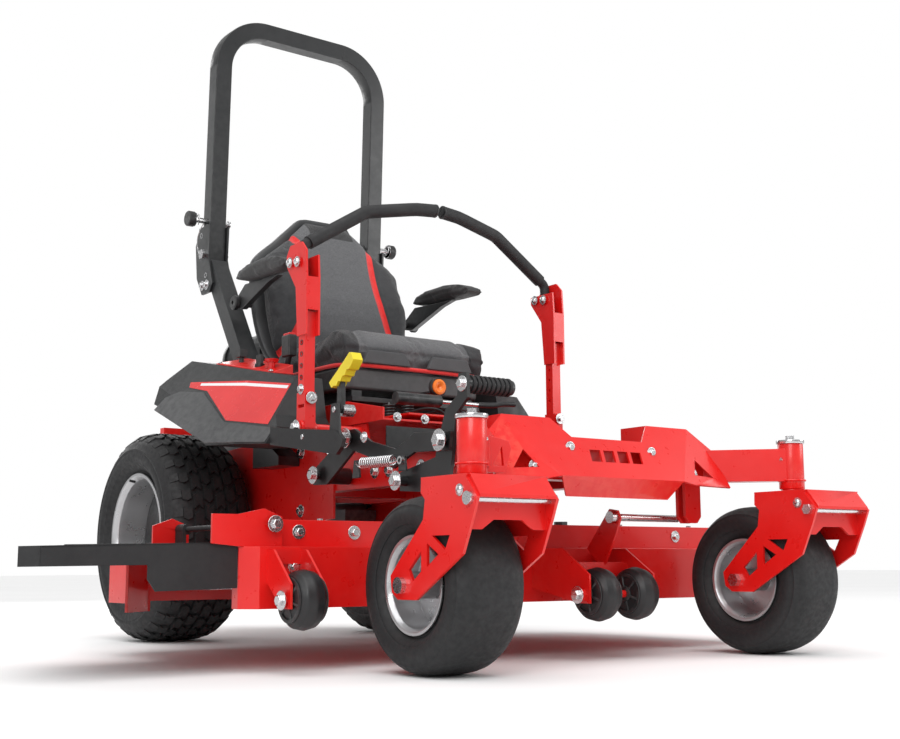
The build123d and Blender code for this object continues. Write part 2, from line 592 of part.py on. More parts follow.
def deck_shell():
    """Deck: top sheet, skirt, reinforcing channel, discharge opening and its red baffle."""
    shell = plate_z(deck_outline(), DECK_LOW, DECK_TOP)
    shell -= plate_z(deck_outline(DECK_WALL), DECK_LOW - 1, DECK_TOP - DECK_WALL)
    shell -= block(-DECK_HALF_W - 10, -DECK_HALF_W + 40, -1095, -698, DECK_LOW - 1, DECK_TOP - DECK_WALL)
    baffle = plate_z([(-812, -745), (-742, -690), (-735, -690), (-735, -697), (-740, -697), (-808, -750)], 106, DECK_TOP)
    shell += baffle
    channel = block(-645, 690, -1104, -1099, DECK_TOP, 292) + block(-645, 690, -1104, -1070, DECK_TOP, DECK_TOP + 5)
    shell += channel
    for cx, cy in ((-SPINDLE_X, SPINDLE_Y), (0, SPINDLE_MID_Y), (SPINDLE_X, SPINDLE_Y)):
        shell -= rod_z(cx, cy, 200, 250, 40)
    front_ear = plate_y([(-800, 244), (-800, 300), (-745, 300), (-690, 312), (-650, 296), (-650, DECK_TOP), (-735, DECK_TOP)],
                        -1128, -1122)
    rear_ear = plate_y([(-735, DECK_TOP), (-735, 290), (-690, 306), (-650, 290), (-650, DECK_TOP)], -700, -694)
    shell += front_ear + rear_ear
    shell -= rod_y(CHUTE_AXIS_X, -1135, -685, CHUTE_AXIS_Z, 6 + RUN_CLEARANCE)
    return shell


def spindle_housings():
    """Three cast spindle housings on the deck top."""
    one = rod_z(0, 0, 196, DECK_TOP, 39.8) + rod_z(0, 0, DECK_TOP, DECK_TOP + 8, 75) + rod_z(0, 0, DECK_TOP + 8, 268, 42)
    one -= rod_z(0, 0, 190, 280, 14 + RUN_CLEARANCE)
    places = ((-SPINDLE_X, SPINDLE_Y), (0, SPINDLE_MID_Y), (SPINDLE_X, SPINDLE_Y))
    return group(*[Pos(x, y, 0) * one for x, y in places])


PULLEY_R = 72.0


def pulley(x, y):
    """Spindle shaft with its belt pulley."""
    shaft = rod_z(x, y, 158, 312, 14)
    rims = rod_z(x, y, 270, 276, PULLEY_R) + rod_z(x, y, 292, 298, PULLEY_R) + rod_z(x, y, 276, 292, PULLEY_R - 14)
    return shaft + rims + hex_z(x, y, 300, 318, 34)


def blade(x, y, turn):
    """Cutting blade with turned-up sails, and its bolt."""
    bar = plate_z([(-BLADE_R, -30), (BLADE_R, -30), (BLADE_R, 30), (-BLADE_R, 30)], 150, 156)
    sail = plate_x([(30, 156), (30, 150), (48, 168), (44, 172)], 150, BLADE_R - 10)
    bar += sail + Rot(0, 0, 180) * sail
    bar += rod_z(0, 0, 156, 158, 24) + hex_z(0, 0, 138, 150, 30)
    ring = rod_z(0, 0, 130, 180, BLADE_R)
    return Pos(x, y, 0) * Rot(0, 0, turn) * (bar & ring)


def deck_belt():
    """Blade belt round the three pulleys."""
    r_in, r_out = PULLEY_R - 13.7, PULLEY_R - 2
    points = [(-SPINDLE_X, SPINDLE_Y), (0, SPINDLE_MID_Y), (SPINDLE_X, SPINDLE_Y)]

    def loop(r):
        return make_hull([Pos(x, y) * edge for x, y in points for edge in Circle(r).edges()])

    return Pos(0, 0, 277) * extrude(loop(r_out) - loop(r_in), 14)


SIDE_ROLLER = (656.0, -1222.0)
MID_ROLLERS_X = (8.0, 118.0)
MID_ROLLER_Y = -1316.0


def roller_brackets():
    """Ears for the side rollers and for the pair in the middle, each with its axle bolt."""
    solids = []
    for x in (-SIDE_ROLLER[0], SIDE_ROLLER[0]):
        y = SIDE_ROLLER[1]
        ear = [(DECK_FRONT, 232), (DECK_FRONT - 24, 232), (y - 20, 168), (y - 20, ROLLER_Z - 16), (y + 14, ROLLER_Z - 16),
               (DECK_FRONT, 170)]
        one = plate_x(ear, x - 38, x - 33) + plate_x(ear, x + 33, x + 38)
        one += block(x - 38, x + 38, DECK_FRONT - 5, DECK_FRONT, 205, 232)
        one += rod_x(x - 46, x + 46, y, ROLLER_Z, 8)
        solids.append(one)
    x0, x1 = MID_ROLLERS_X
    y = MID_ROLLER_Y
    ear = [(DECK_FRONT, 236), (DECK_FRONT - 100, 236), (y - 20, 180), (y - 20, ROLLER_Z - 18), (y + 16, ROLLER_Z - 18),
           (DECK_FRONT, 150)]
    one = plate_x(ear, x0 - 42, x0 - 37) + plate_x(ear, x1 + 37, x1 + 42)
    one += block(x0 - 42, x1 + 42, -1256, -1250, 126, 206)
    one += block(x0 - 42, x1 + 42, DECK_FRONT - 5, DECK_FRONT, 205, 236)
    one += plate_x([(-1250, 190), (-1295, 270), (-1308, 300), (-1300, 318), (-1275, 322), (-1200, 236)], x1 - 32, x1 - 26)
    one += rod_x(x0 - 58, x1 + 50, y, ROLLER_Z, 8) + hex_x(x0 - 52, x0 - 42, y, ROLLER_Z, 22)
    solids.append(one)
    return group(*solids)


def roller(x, y):
    """Barrel shaped anti-scalp roller."""
    profile = [(-30, 8 + RUN_CLEARANCE), (-30, 26), (-27, 44), (-18, 53), (0, ROLLER_R), (18, 53), (27, 44), (30, 26),
               (30, 8 + RUN_CLEARANCE)]
    return turned_x(profile, x, y, ROLLER_Z)


def deck_hardware():
    """Steel sway rod in front of the deck, and the adjuster studs on the deck's front edge."""
    rod = rod_x(92.5, 284, -1290, 303, 8) + rod_x(72, 85.8, -1290, 303, 13)
    studs = [rod_z(x, -1085, DECK_TOP + 5.2, 296, 6) + hex_z(x, -1085, DECK_TOP + 5.2, 254, 20) for x in (-540, -300, 300, 540)]
    return group(rod, *studs)


def chute():
    """Moulded grass deflector that folds up, narrower at the back, with curtains and hinge knuckles."""
    x0, x1, x2 = -742.0, CHUTE_TIP_X, -1010.0
    y0, y1 = -1116.0, -706.0
    plan = [(x0 + 62, y0), (x1 + 30, y0), (x1, y0 + 26), (x2, y1), (x0 + 62, y1)]
    inner = [(x0 + 70, y0 + 5), (x1 + 33, y0 + 5), (x1 + 6.4, y0 + 28), (x2 + 5.5, y1 - 5), (x0 + 70, y1 - 5)]
    top = plate_y([(x0 + 62, 247), (x0 + 62, 242.5), (x0, 241), (x1, 232), (x1, 238), (x0, 247)], y0, y1)
    skirt = plate_z(plan, 200, 244) - plate_z(inner, 190, 250)
    skirt &= plate_y([(x0 - 2, 246), (x1, 237), (x1, 202), (x0 - 2, 206)], y0 - 1, y1 + 1)
    skirt -= block(-818, -700, -775, -700, 195, 239)
    one = (top & plate_z(plan, 190, 260)) + skirt
    front_lip = plate_y([(x0, 244), (x0 - 180, 238), (x0 - 180, 178), (x0 - 164, 156), (x0, 160)], y0 - 5, y0)
    front_lip += plate_y([(x0, 244), (x1 + 30, 235), (x1 + 30, 203), (x0, 206)], y0 - 5, y0)
    knuckle = rod_y(CHUTE_AXIS_X, y0 - 5, y0 + 40, CHUTE_AXIS_Z, 12) + rod_y(CHUTE_AXIS_X, y1 - 35, y1 + 5, CHUTE_AXIS_Z, 12)
    neck = block(CHUTE_AXIS_X - 11, CHUTE_AXIS_X - 3, y0 - 5, y0 + 40, 246, CHUTE_AXIS_Z)
    neck += block(CHUTE_AXIS_X - 11, CHUTE_AXIS_X - 3, y1 - 35, y1 + 5, 246, CHUTE_AXIS_Z)
    one += front_lip + knuckle + neck
    one += rod_y(CHUTE_AXIS_X, -1132, -688, CHUTE_AXIS_Z, 6)
    one += rod_y(CHUTE_AXIS_X, -1140, -1129, CHUTE_AXIS_Z, 11) + rod_y(CHUTE_AXIS_X, -693, -682, CHUTE_AXIS_Z, 11)
    return one


# ---- deck lift -------------------------------------------------------------------------------------------------------
PEDAL_PIN = (PEDAL_PIVOT[0] + LIFT_ARM[0], PEDAL_PIVOT[1] + LIFT_ARM[1])
BELL_PIN = (BELL_PIVOT[0] + LIFT_ARM[0], BELL_PIVOT[1] + LIFT_ARM[1])


def lift_pedal():
    """Foot pedal arm on its frame bracket pin, with a ribbed peg at the top."""
    y0, z0 = PEDAL_PIVOT
    outline = [(y0 + 22, z0 - 20), (y0 + 22, z0 + 20), (-1190, 424), (-1206, 470), (-1226, 520), (-1268, 546), (-1272, 590),
               (-1300, 590), (-1302, 538), (-1262, 508), (-1250, 430), (-1236, 362), (y0 - 60, z0 - 26)]
    arm = plate_x(outline, -LIFT_X + 4.3, -LIFT_X + 12.3)
    arm += rod_x(-LIFT_X + 4.3, -LIFT_X - 16, y0, z0, 11) + rod_x(-LIFT_X - 16, -LIFT_X - 22, y0, z0, 15)
    arm += rod_x(-LIFT_X + 12.3, -RAIL_OUT - 1, y0, z0, 16)
    pin = rod_x(-LIFT_X + 4.3, -LIFT_X - 8, *PEDAL_PIN, 9) + hex_x(-LIFT_X - 18, -LIFT_X - 8, *PEDAL_PIN, 26)
    peg = rod_x(-LIFT_X + 12.3, -LIFT_X + 132, -1285, 568, 16)
    return arm + pin + peg


def lift_link():
    """Bent flat link from the pedal to the bell crank."""
    (y0, z0), (y1, z1) = PEDAL_PIN, BELL_PIN
    outline = [(y0 - 22, z0 + 18), (y0 + 110, z0 + 26), (y0 + 180, z0 - 4), (y1 - 90, z1 - 14), (y1 - 20, z1 + 20),
               (y1 + 20, z1 + 20), (y1 + 22, z1 - 18), (y1 - 80, z1 - 48), (y0 + 190, z0 - 46), (y0 + 110, z0 - 16),
               (y0 - 16, z0 - 22)]
    link = plate_x(outline, -LIFT_X - 4, -LIFT_X + 4)
    for y, z in (PEDAL_PIN, BELL_PIN):
        link -= rod_x(-LIFT_X - 10, -LIFT_X + 10, y, z, 9 + RUN_CLEARANCE)
    return link


def bell_crank():
    """Rear bell crank on its cross shaft."""
    y0, z0 = BELL_PIVOT
    y1, z1 = BELL_PIN
    outline = [(y0 + 24, z0 - 22), (y0 + 22, z0 + 14), (y1 + 18, z1 + 18), (y1 - 20, z1 + 16), (y1 - 20, z1 - 18),
               (y0 - 40, z0 - 24)]
    crank = plate_x(outline, -LIFT_X + 4.3, -LIFT_X + 12.3)
    crank += rod_x(-LIFT_X - 12, -LIFT_X + 4.3, *BELL_PIN, 9) + hex_x(-LIFT_X - 16, -LIFT_X - 6, *BELL_PIN, 26)
    crank += rod_x(-LIFT_X - 10, -RAIL_OUT + 30, y0, z0, 10)
    crank += rod_x(-LIFT_X + 12.3, -242, y0, z0, 20)
    return crank


# ---- small controls --------------------------------------------------------------------------------------------------
def brake_lever():
    """Parking brake lever: flat bar and a finger-shaped grip."""
    y, z = BRAKE_PIVOT
    x = -BRAKE_X
    bar = block(x - 6, x + 6, y - 10, y + 10, z, z + 86) + rod_x(x - 12, x + 34, y, z, 12)
    bar -= rod_x(x - 20, x + 40, y, z, 7 + RUN_CLEARANCE)
    grip = plate_x([(y + 34, z + 64), (y - 58, z + 124), (y - 72, z + 104), (y + 20, z + 40)], x - 13, x + 13)
    return bar + fillet(grip.edges(), 5)


def panel_z(y):
    """Height of the console panel's top at y."""
    return roof_z(y) + 3.4


def pto_knob():
    """Mushroom knob that engages the blades."""
    x, y = CLUTCH_AT
    z = panel_z(y)
    return rod_z(x, y, z + 3, z + 22, 9) + Pos(x, y, z + 26) * Cone(14, 19, 8)


def throttle_lever():
    """Throttle lever with a block grip."""
    x, y = THROTTLE_AT
    z = panel_z(y)
    blade_arm = block(x - 3, x + 3, y - 8, y + 8, z - 16, z + 24)
    return blade_arm + block(x - 11, x + 11, y - 14, y + 14, z + 24, z + 44) + rod_x(x - 4.7, x + 4.7, y, z - 12, 5)


def ignition_key():
    """Key switch knob."""
    x, y = KEY_AT
    z = panel_z(y)
    return rod_z(x, y, z + 3, z + 14, 13) + block(x - 4, x + 4, y - 13, y + 13, z + 14, z + 38)


# ---- assembly --------------------------------------------------------------------------------------------------------
def build():
    """All pieces by node name, in the machine frame."""
    made = {
        "main_frame": main_frame(),
        "front_frame": front_frame(),
        "front_cover": front_cover(),
        "foot_platform": foot_platform(),
        "seat_pan": seat_pan(),
        "fender_right": fender(),
        "fender_left": fender(right=False),
        "console_panel": console_panel(),
        "rops_posts": rops_posts(),
        "rops_hoop": rops_hoop(),
        "rops_pins": group(rops_pins(), hinge_bolts()),
        "engine_block": engine_block(),
        "engine_covers": group(engine_covers(), muffler()),
        "transaxles": transaxles(),
        "caster_caps": caster_caps(),
        "seat_frame": seat_frame(),
        "seat_cushion": seat_cushion(),
        "seat_back": seat_back(),
        "deck_shell": deck_shell(),
        "spindle_housings": spindle_housings(),
        "deck_belt": deck_belt(),
        "roller_brackets": roller_brackets(),
        "roller_right": roller(-SIDE_ROLLER[0], SIDE_ROLLER[1]),
        "roller_left": roller(SIDE_ROLLER[0], SIDE_ROLLER[1]),
        "roller_pair": group(*[roller(x, MID_ROLLER_Y) for x in MID_ROLLERS_X]),
        "deck_hardware": deck_hardware(),
        "grass_deflector": chute(),
        "lift_pedal": lift_pedal(),
        "lift_link": lift_link(),
        "bell_crank": bell_crank(),
        "brake_lever": brake_lever(),
        "blade_clutch_knob": pto_knob(),
        "throttle_lever": throttle_lever(),
        "ignition_key": ignition_key(),
    }
    pairs = {
        "drive_tyre": drive_tyre(),
        "drive_rim": drive_rim(),
        "caster_fork": fork(),
        "caster_axle": caster_axle(),
        "caster_tyre": caster_tyre(),
        "caster_rim": caster_rim(),
        "lever_hub": lever_hub(),
        "lever_post": lever_post(),
        "lever_grip": lever_grip(),
        "armrest": armrest(),
    }
    for name, shape in pairs.items():
        made[name + "_right"] = shape
        made[name + "_left"] = mirrored(shape)
    spindles = {"right": (-SPINDLE_X, SPINDLE_Y, 10), "centre": (0, SPINDLE_MID_Y, 75), "left": (SPINDLE_X, SPINDLE_Y, -20)}
    for name, (x, y, turn) in spindles.items():
        made["pulley_" + name] = pulley(x, y)
        made["blade_" + name] = blade(x, y, turn)
    return made


if __name__ == "__main__":
    os.makedirs("parts", exist_ok=True)
    for name, shape in build().items():
        export_step(group(ROW_SHIFT * shape), f"parts/{name}.step")
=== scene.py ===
"""Looks of the zero turn mower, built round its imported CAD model."""
import json
import math
import bpy
import bmesh
from mathutils import Matrix, Vector


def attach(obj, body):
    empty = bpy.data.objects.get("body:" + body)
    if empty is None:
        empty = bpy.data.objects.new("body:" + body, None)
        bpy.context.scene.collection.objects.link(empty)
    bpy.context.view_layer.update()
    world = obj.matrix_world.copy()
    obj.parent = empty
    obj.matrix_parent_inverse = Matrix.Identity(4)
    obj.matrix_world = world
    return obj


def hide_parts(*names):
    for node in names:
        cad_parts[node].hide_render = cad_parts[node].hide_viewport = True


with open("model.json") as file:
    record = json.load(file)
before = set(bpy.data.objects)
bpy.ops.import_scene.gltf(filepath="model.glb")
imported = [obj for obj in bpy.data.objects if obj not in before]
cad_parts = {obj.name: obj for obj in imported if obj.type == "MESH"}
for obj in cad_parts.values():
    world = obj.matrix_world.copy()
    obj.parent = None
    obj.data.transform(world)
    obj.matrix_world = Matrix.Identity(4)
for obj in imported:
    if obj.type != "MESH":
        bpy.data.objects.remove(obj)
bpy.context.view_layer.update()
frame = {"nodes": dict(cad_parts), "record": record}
NODES = frame["nodes"]

# The machine's own axes, in mm: drive axle at y = 0, centre plane at x = 0, ground at z = 0.
SHIFT = (0.205, 0.5745)

# Places shared by several pieces, in the same mm.
DRIVE_X, DRIVE_R = 380, 285
CASTER_X, CASTER_PIVOT_Y, CASTER_AXLE_Y, CASTER_R = 454, -1484, -1390, 165
LEVER_X, LEVER_Y = 385, -752
ROLL_BAR_X = 297
ARM_Y, ARM_Z = -205, 925
ROLLER_Z = 138
LINK_FACE_X = -348
BRAKE_X, BRAKE_Y, BRAKE_Z = -382, -905, 548
SPINDLES = ((-470, -675), (0, -885), (470, -675))
STUD_X, STUD_Y = (-540, -300, 300, 540), -1085
# The stripe sewn on the backrest, in m: (bend, slope, offset) about a height. On the seat it is straight.
STRIPE_BEND, STRIPE_Z = (1.293, 0.0407, 0.113), 1.054
SEAT_STRIPE = 0.165
# Sign of X and the letter used in names, for the right side and the left.
SIDES = ((-1, "r"), (1, "l"))


def at(x, y, z):
    """Machine mm to the frame's metres."""
    return Vector((x / 1000 + SHIFT[0], y / 1000 + SHIFT[1], z / 1000))


# ---------------------------------------------------------------- materials
MAT = {}


class Graph:
    """A new material, kept in MAT by its name, and its node tree."""

    def __init__(self, name):
        self.mat = MAT[name] = bpy.data.materials.new(name)
        self.mat.use_nodes = True
        self.tree = self.mat.node_tree
        self.bsdf = self.tree.nodes["Principled BSDF"]
        coords = self.tree.nodes.new("ShaderNodeTexCoord")
        self.where = coords.outputs["Object"]

    def node(self, kind, **values):
        made = self.tree.nodes.new(kind)
        for key, value in values.items():
            if key in made.inputs:
                made.inputs[key].default_value = value
            else:
                setattr(made, key, value)
        return made

    def join(self, out, into):
        self.tree.links.new(out, into)

    def noise(self, scale, detail=4.0, rough=0.55):
        made = self.node("ShaderNodeTexNoise", Scale=scale, Detail=detail, Roughness=rough)
        self.join(self.where, made.inputs["Vector"])
        return made.outputs["Fac"]

    def ramp(self, fac, stops):
        made = self.node("ShaderNodeValToRGB")
        ramp = made.color_ramp
        while len(ramp.elements) < len(stops):
            ramp.elements.new(0.5)
        for element, (place, color) in zip(ramp.elements, stops):
            element.position = place
            element.color = (*color, 1.0)
        self.join(fac, made.inputs["Fac"])
        return made.outputs["Color"]

    def remap(self, fac, low, high, start=0.3, stop=0.7):
        made = self.node("ShaderNodeMapRange")
        made.inputs["From Min"].default_value = start
        made.inputs["From Max"].default_value = stop
        made.inputs["To Min"].default_value = low
        made.inputs["To Max"].default_value = high
        self.join(fac, made.inputs["Value"])
        return made.outputs["Result"]

    def math(self, kind, a, b=None):
        made = self.node("ShaderNodeMath", operation=kind)
        for slot, value in enumerate((a, b)):
            if value is None:
                continue
            if isinstance(value, (int, float)):
                made.inputs[slot].default_value = value
            else:
                self.join(value, made.inputs[slot])
        return made.outputs["Value"]

    def mix(self, fac, a, b):
        made = self.node("ShaderNodeMix", data_type="RGBA")
        for name, value in (("Factor", fac), ("A", a), ("B", b)):
            slot = [s for s in made.inputs if s.name == name and s.enabled][0]
            if isinstance(value, tuple):
                slot.default_value = (*value, 1.0)
            elif isinstance(value, (int, float)):
                slot.default_value = value
            else:
                self.join(value, slot)
        return [s for s in made.outputs if s.enabled][0]

    def bump(self, height, strength, distance):
        made = self.node("ShaderNodeBump", Strength=strength, Distance=distance)
        self.join(height, made.inputs["Height"])
        last = self.bsdf.inputs["Normal"].links
        if last:
            self.join(last[0].from_socket, made.inputs["Normal"])
        self.join(made.outputs["Normal"], self.bsdf.inputs["Normal"])

    def color(self, out):
        self.join(out, self.bsdf.inputs["Base Color"])

    def rough(self, out):
        self.join(out, self.bsdf.inputs["Roughness"])

    def set(self, **values):
        for key, value in values.items():
            self.bsdf.inputs[key.replace("_", " ")].default_value = value


def dusty(g, color, dust, amount):
    """Thin dust on faces that look up, and in patches."""
    geo = g.node("ShaderNodeNewGeometry")
    split = g.node("ShaderNodeSeparateXYZ")
    g.join(geo.outputs["Normal"], split.inputs["Vector"])
    up = g.remap(split.outputs["Z"], 0.0, 1.0, 0.2, 1.0)
    patch = g.remap(g.noise(14.0, 5.0), 0.2, 1.0, 0.35, 0.65)
    return g.mix(g.math("MULTIPLY", g.math("MULTIPLY", up, patch), amount), color, dust)


def edge_wear(g, color, worn, amount):
    """Lighter colour on rubbed edges."""
    geo = g.node("ShaderNodeNewGeometry")
    edge = g.remap(geo.outputs["Pointiness"], 0.0, 1.0, 0.53, 0.6)
    patch = g.remap(g.noise(60.0, 6.0), 0.0, 1.0, 0.4, 0.6)
    return g.mix(g.math("MULTIPLY", g.math("MULTIPLY", edge, patch), amount), color, worn)


def paint(name, dark, light, rough=(0.22, 0.34), coat=0.5, peel=0.12, worn=None):
    """Powder coat: slight orange peel, tone variation, rubbed edges."""
    g = Graph(name)
    color = g.ramp(g.noise(5.0, 6.0), [(0.3, dark), (0.7, light)])
    if worn:
        color = edge_wear(g, color, worn, 0.5)
    g.color(color)
    g.rough(g.remap(g.noise(38.0, 5.0), *rough))
    g.bump(g.noise(420.0, 2.0), peel, 0.0006)
    g.bump(g.noise(30.0, 3.0), 0.05, 0.002)
    g.set(Coat_Weight=coat, Coat_Roughness=0.12)


def metal(name, dark, light, rough):
    """Bare or plated steel with fine drawn scratches."""
    g = Graph(name)
    grain = g.noise(260.0, 6.0, 0.6)
    g.color(g.ramp(grain, [(0.25, dark), (0.75, light)]))
    g.rough(g.remap(grain, *rough))
    g.bump(grain, 0.1, 0.0004)
    g.set(Metallic=1.0)


def plastic(name, dark, light, rough=(0.42, 0.6), grain=900.0, bump=0.25, worn=None):
    """Moulded plastic or rubber with a fine pebble grain."""
    g = Graph(name)
    color = g.ramp(g.noise(7.0, 5.0), [(0.3, dark), (0.7, light)])
    if worn:
        color = edge_wear(g, color, worn, 0.45)
    g.color(color)
    g.rough(g.remap(g.noise(55.0, 4.0), *rough))
    cells = g.node("ShaderNodeTexVoronoi", Scale=grain)
    g.join(g.where, cells.inputs["Vector"])
    g.bump(cells.outputs["Distance"], bump, 0.0005)
    g.bump(g.noise(25.0, 3.0), 0.05, 0.002)


def tyre_rubber(name):
    """Tyre compound, faintly dusty with mould texture."""
    g = Graph(name)
    color = g.ramp(g.noise(9.0, 6.0), [(0.3, (0.007, 0.007, 0.008)), (0.7, (0.014, 0.014, 0.015))])
    color = dusty(g, color, (0.06, 0.057, 0.053), 0.22)
    g.color(color)
    g.rough(g.remap(g.noise(90.0, 5.0), 0.55, 0.8))
    g.bump(g.noise(700.0, 3.0), 0.25, 0.0006)
    g.bump(g.noise(60.0, 3.0), 0.1, 0.0015)


def weave(g, scale, strength):
    """Crossed threads as bump, from object coordinates."""
    split = g.node("ShaderNodeSeparateXYZ")
    g.join(g.where, split.inputs["Vector"])
    across = g.math("MULTIPLY", split.outputs["X"], scale)
    along = g.math("MULTIPLY", g.math("ADD", split.outputs["Y"], split.outputs["Z"]), scale)
    threads = g.math("MULTIPLY", g.math("SINE", across), g.math("SINE", along))
    g.bump(threads, strength, 0.0006)
    return threads


def fabric(name, dark, light, scale=2600.0, strength=0.4, sheen=0.25, rough=(0.7, 0.9)):
    """Plain woven cloth."""
    g = Graph(name)
    threads = weave(g, scale, strength)
    base = g.ramp(g.noise(11.0, 6.0), [(0.3, dark), (0.7, light)])
    shade = g.remap(threads, 0.0, 1.0, -1.0, 1.0)
    g.color(g.mix(g.math("MULTIPLY", shade, 0.35), base, tuple(c * 1.6 for c in light)))
    g.rough(g.remap(g.noise(80.0, 4.0), *rough))
    g.bump(g.noise(18.0, 4.0), 0.12, 0.004)
    g.set(Sheen_Weight=sheen, Sheen_Roughness=0.5)


def seat_cloth(name, bend, pivot, striped=True):
    """Woven centre panel, a red stripe either side that follows a bent line, and smooth dark bolsters."""
    g = Graph(name)
    threads = weave(g, 2400.0, 0.45)
    split = g.node("ShaderNodeSeparateXYZ")
    g.join(g.where, split.inputs["Vector"])
    out = g.math("ABSOLUTE", g.math("SUBTRACT", split.outputs["X"], SHIFT[0]))
    rise = g.math("SUBTRACT", split.outputs["Z"], pivot)
    line = g.math("MULTIPLY", g.math("MULTIPLY", rise, rise), bend[0])
    line = g.math("ADD", line, g.math("ADD", g.math("MULTIPLY", rise, bend[1]), bend[2]))
    past = g.math("SUBTRACT", out, line)
    speckle = g.noise(520.0, 3.0)
    centre = g.ramp(speckle, [(0.36, (0.060, 0.061, 0.065)), (0.64, (0.125, 0.127, 0.133))])
    bolster = g.ramp(g.noise(12.0, 5.0), [(0.3, (0.016, 0.017, 0.019)), (0.7, (0.026, 0.027, 0.030))])
    stripe = g.ramp(g.noise(30.0, 4.0), [(0.3, (0.66, 0.010, 0.009)), (0.7, (0.80, 0.016, 0.014))])
    color = g.mix(g.remap(past, 0.0, 1.0, -0.0125, -0.0115), centre, stripe) if striped else centre
    color = g.mix(g.remap(past, 0.0, 1.0, 0.0090, 0.0100), color, bolster)
    if striped:
        patch = g.math("MULTIPLY", g.remap(split.outputs["Z"], 0.0, 1.0, 1.150, 1.151),
            g.remap(out, 1.0, 0.0, 0.072, 0.073))
        color = g.mix(patch, color, (0.012, 0.012, 0.013))
    g.color(dusty(g, color, (0.16, 0.155, 0.15), 0.10))
    g.rough(g.remap(g.noise(70.0, 4.0), 0.62, 0.85))
    g.bump(g.noise(16.0, 4.0), 0.18, 0.005)
    g.set(Sheen_Weight=0.2, Sheen_Roughness=0.5)


paint("red_paint", (0.66, 0.006, 0.005), (0.74, 0.010, 0.008), (0.26, 0.38), 0.25, worn=(0.80, 0.08, 0.05))
paint("black_steel", (0.010, 0.011, 0.012), (0.018, 0.019, 0.020), (0.30, 0.45), 0.15, 0.2,
    (0.08, 0.08, 0.08))
paint("cast_metal", (0.05, 0.05, 0.052), (0.11, 0.11, 0.115), (0.45, 0.65), 0.0, 0.6, (0.3, 0.3, 0.3))
metal("bright_steel", (0.55, 0.55, 0.56), (0.78, 0.78, 0.79), (0.16, 0.32))
plastic("black_plastic", (0.006, 0.006, 0.007), (0.013, 0.013, 0.014), (0.35, 0.5), worn=(0.06, 0.06, 0.06))
plastic("grey_plastic", (0.012, 0.013, 0.014), (0.020, 0.021, 0.022), (0.36, 0.52), worn=(0.10, 0.10, 0.10))
plastic("shell_plastic", (0.038, 0.039, 0.041), (0.055, 0.056, 0.058), (0.4, 0.55), worn=(0.14, 0.14, 0.14))
plastic("grip_rubber", (0.009, 0.009, 0.010), (0.017, 0.017, 0.018), (0.55, 0.72), 1300.0, 0.35)
tyre_rubber("tyre_rubber")
paint("silver_paint", (0.42, 0.42, 0.43), (0.55, 0.55, 0.56), (0.25, 0.38), 0.3, 0.15, (0.7, 0.7, 0.7))
fabric("seat_fabric", (0.105, 0.107, 0.112), (0.135, 0.137, 0.142))
fabric("seat_dark", (0.035, 0.036, 0.039), (0.052, 0.053, 0.056), 3200.0, 0.15, 0.1, (0.5, 0.65))
fabric("red_cloth", (0.55, 0.012, 0.012), (0.68, 0.018, 0.016), 2600.0, 0.3)
plastic("yellow_plastic", (0.72, 0.58, 0.02), (0.86, 0.72, 0.04), (0.3, 0.45), 600.0, 0.15)
paint("decal_red", (0.58, 0.010, 0.012), (0.72, 0.020, 0.020), (0.2, 0.3), 0.7, 0.05)
paint("decal_white", (0.72, 0.72, 0.73), (0.84, 0.84, 0.85), (0.25, 0.35), 0.5, 0.05)
plastic("knob_red", (0.55, 0.006, 0.006), (0.66, 0.010, 0.010), (0.25, 0.35), 500.0, 0.1)
fabric("armrest_skin", (0.016, 0.016, 0.017), (0.026, 0.026, 0.027), 3600.0, 0.2, 0.05, (0.5, 0.65))
seat_cloth("seat_back_cloth", STRIPE_BEND, STRIPE_Z)
seat_cloth("seat_base_cloth", (0.0, 0.0, SEAT_STRIPE), 0.0, striped=False)
plastic("amber", (0.85, 0.16, 0.02), (1.0, 0.26, 0.04), (0.12, 0.2), 300.0, 0.3)
MAT["silver_paint"].node_tree.nodes["Principled BSDF"].inputs["Metallic"].default_value = 0.75

NODE_SLOT = {s["node"]: s["material_slot"] for s in frame["record"]["subparts"]}


def recolor(node, name):
    """Gives a CAD node one of the materials above."""
    o = NODES[node]
    if not o.material_slots:
        o.data.materials.append(MAT[name])
    for slot in o.material_slots:
        slot.material = MAT[name]


def bevel_edges(o, width, angle=30):
    """Rounds the edges sharper than an angle, in degrees; the width is in mm."""
    bevel = o.modifiers.new("bevel", "BEVEL")
    bevel.width = width / 1000
    bevel.segments = 2
    bevel.limit_method = "ANGLE"
    bevel.angle_limit = math.radians(angle)
    return bevel


def polish(node, width):
    """Weld and bevel a CAD node, so its edges catch light."""
    o = NODES[node]
    weld = o.modifiers.new("weld", "WELD")
    weld.merge_threshold = 0.00002
    bevel = bevel_edges(o, width, angle=32)
    bevel.miter_outer = "MITER_ARC"
    bevel.use_clamp_overlap = True
    bevel.harden_normals = True


for node_name in NODES:
    recolor(node_name, NODE_SLOT[node_name])

# ---------------------------------------------------------------- mesh helpers


def new_object(name, data):
    """An object of this data, linked to the scene."""
    o = bpy.data.objects.new(name, data)
    bpy.context.scene.collection.objects.link(o)
    return o


def finish_piece(o, mat, body):
    """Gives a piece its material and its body."""
    o.data.materials.clear()
    o.data.materials.append(MAT[mat])
    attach(o, body)
    return o


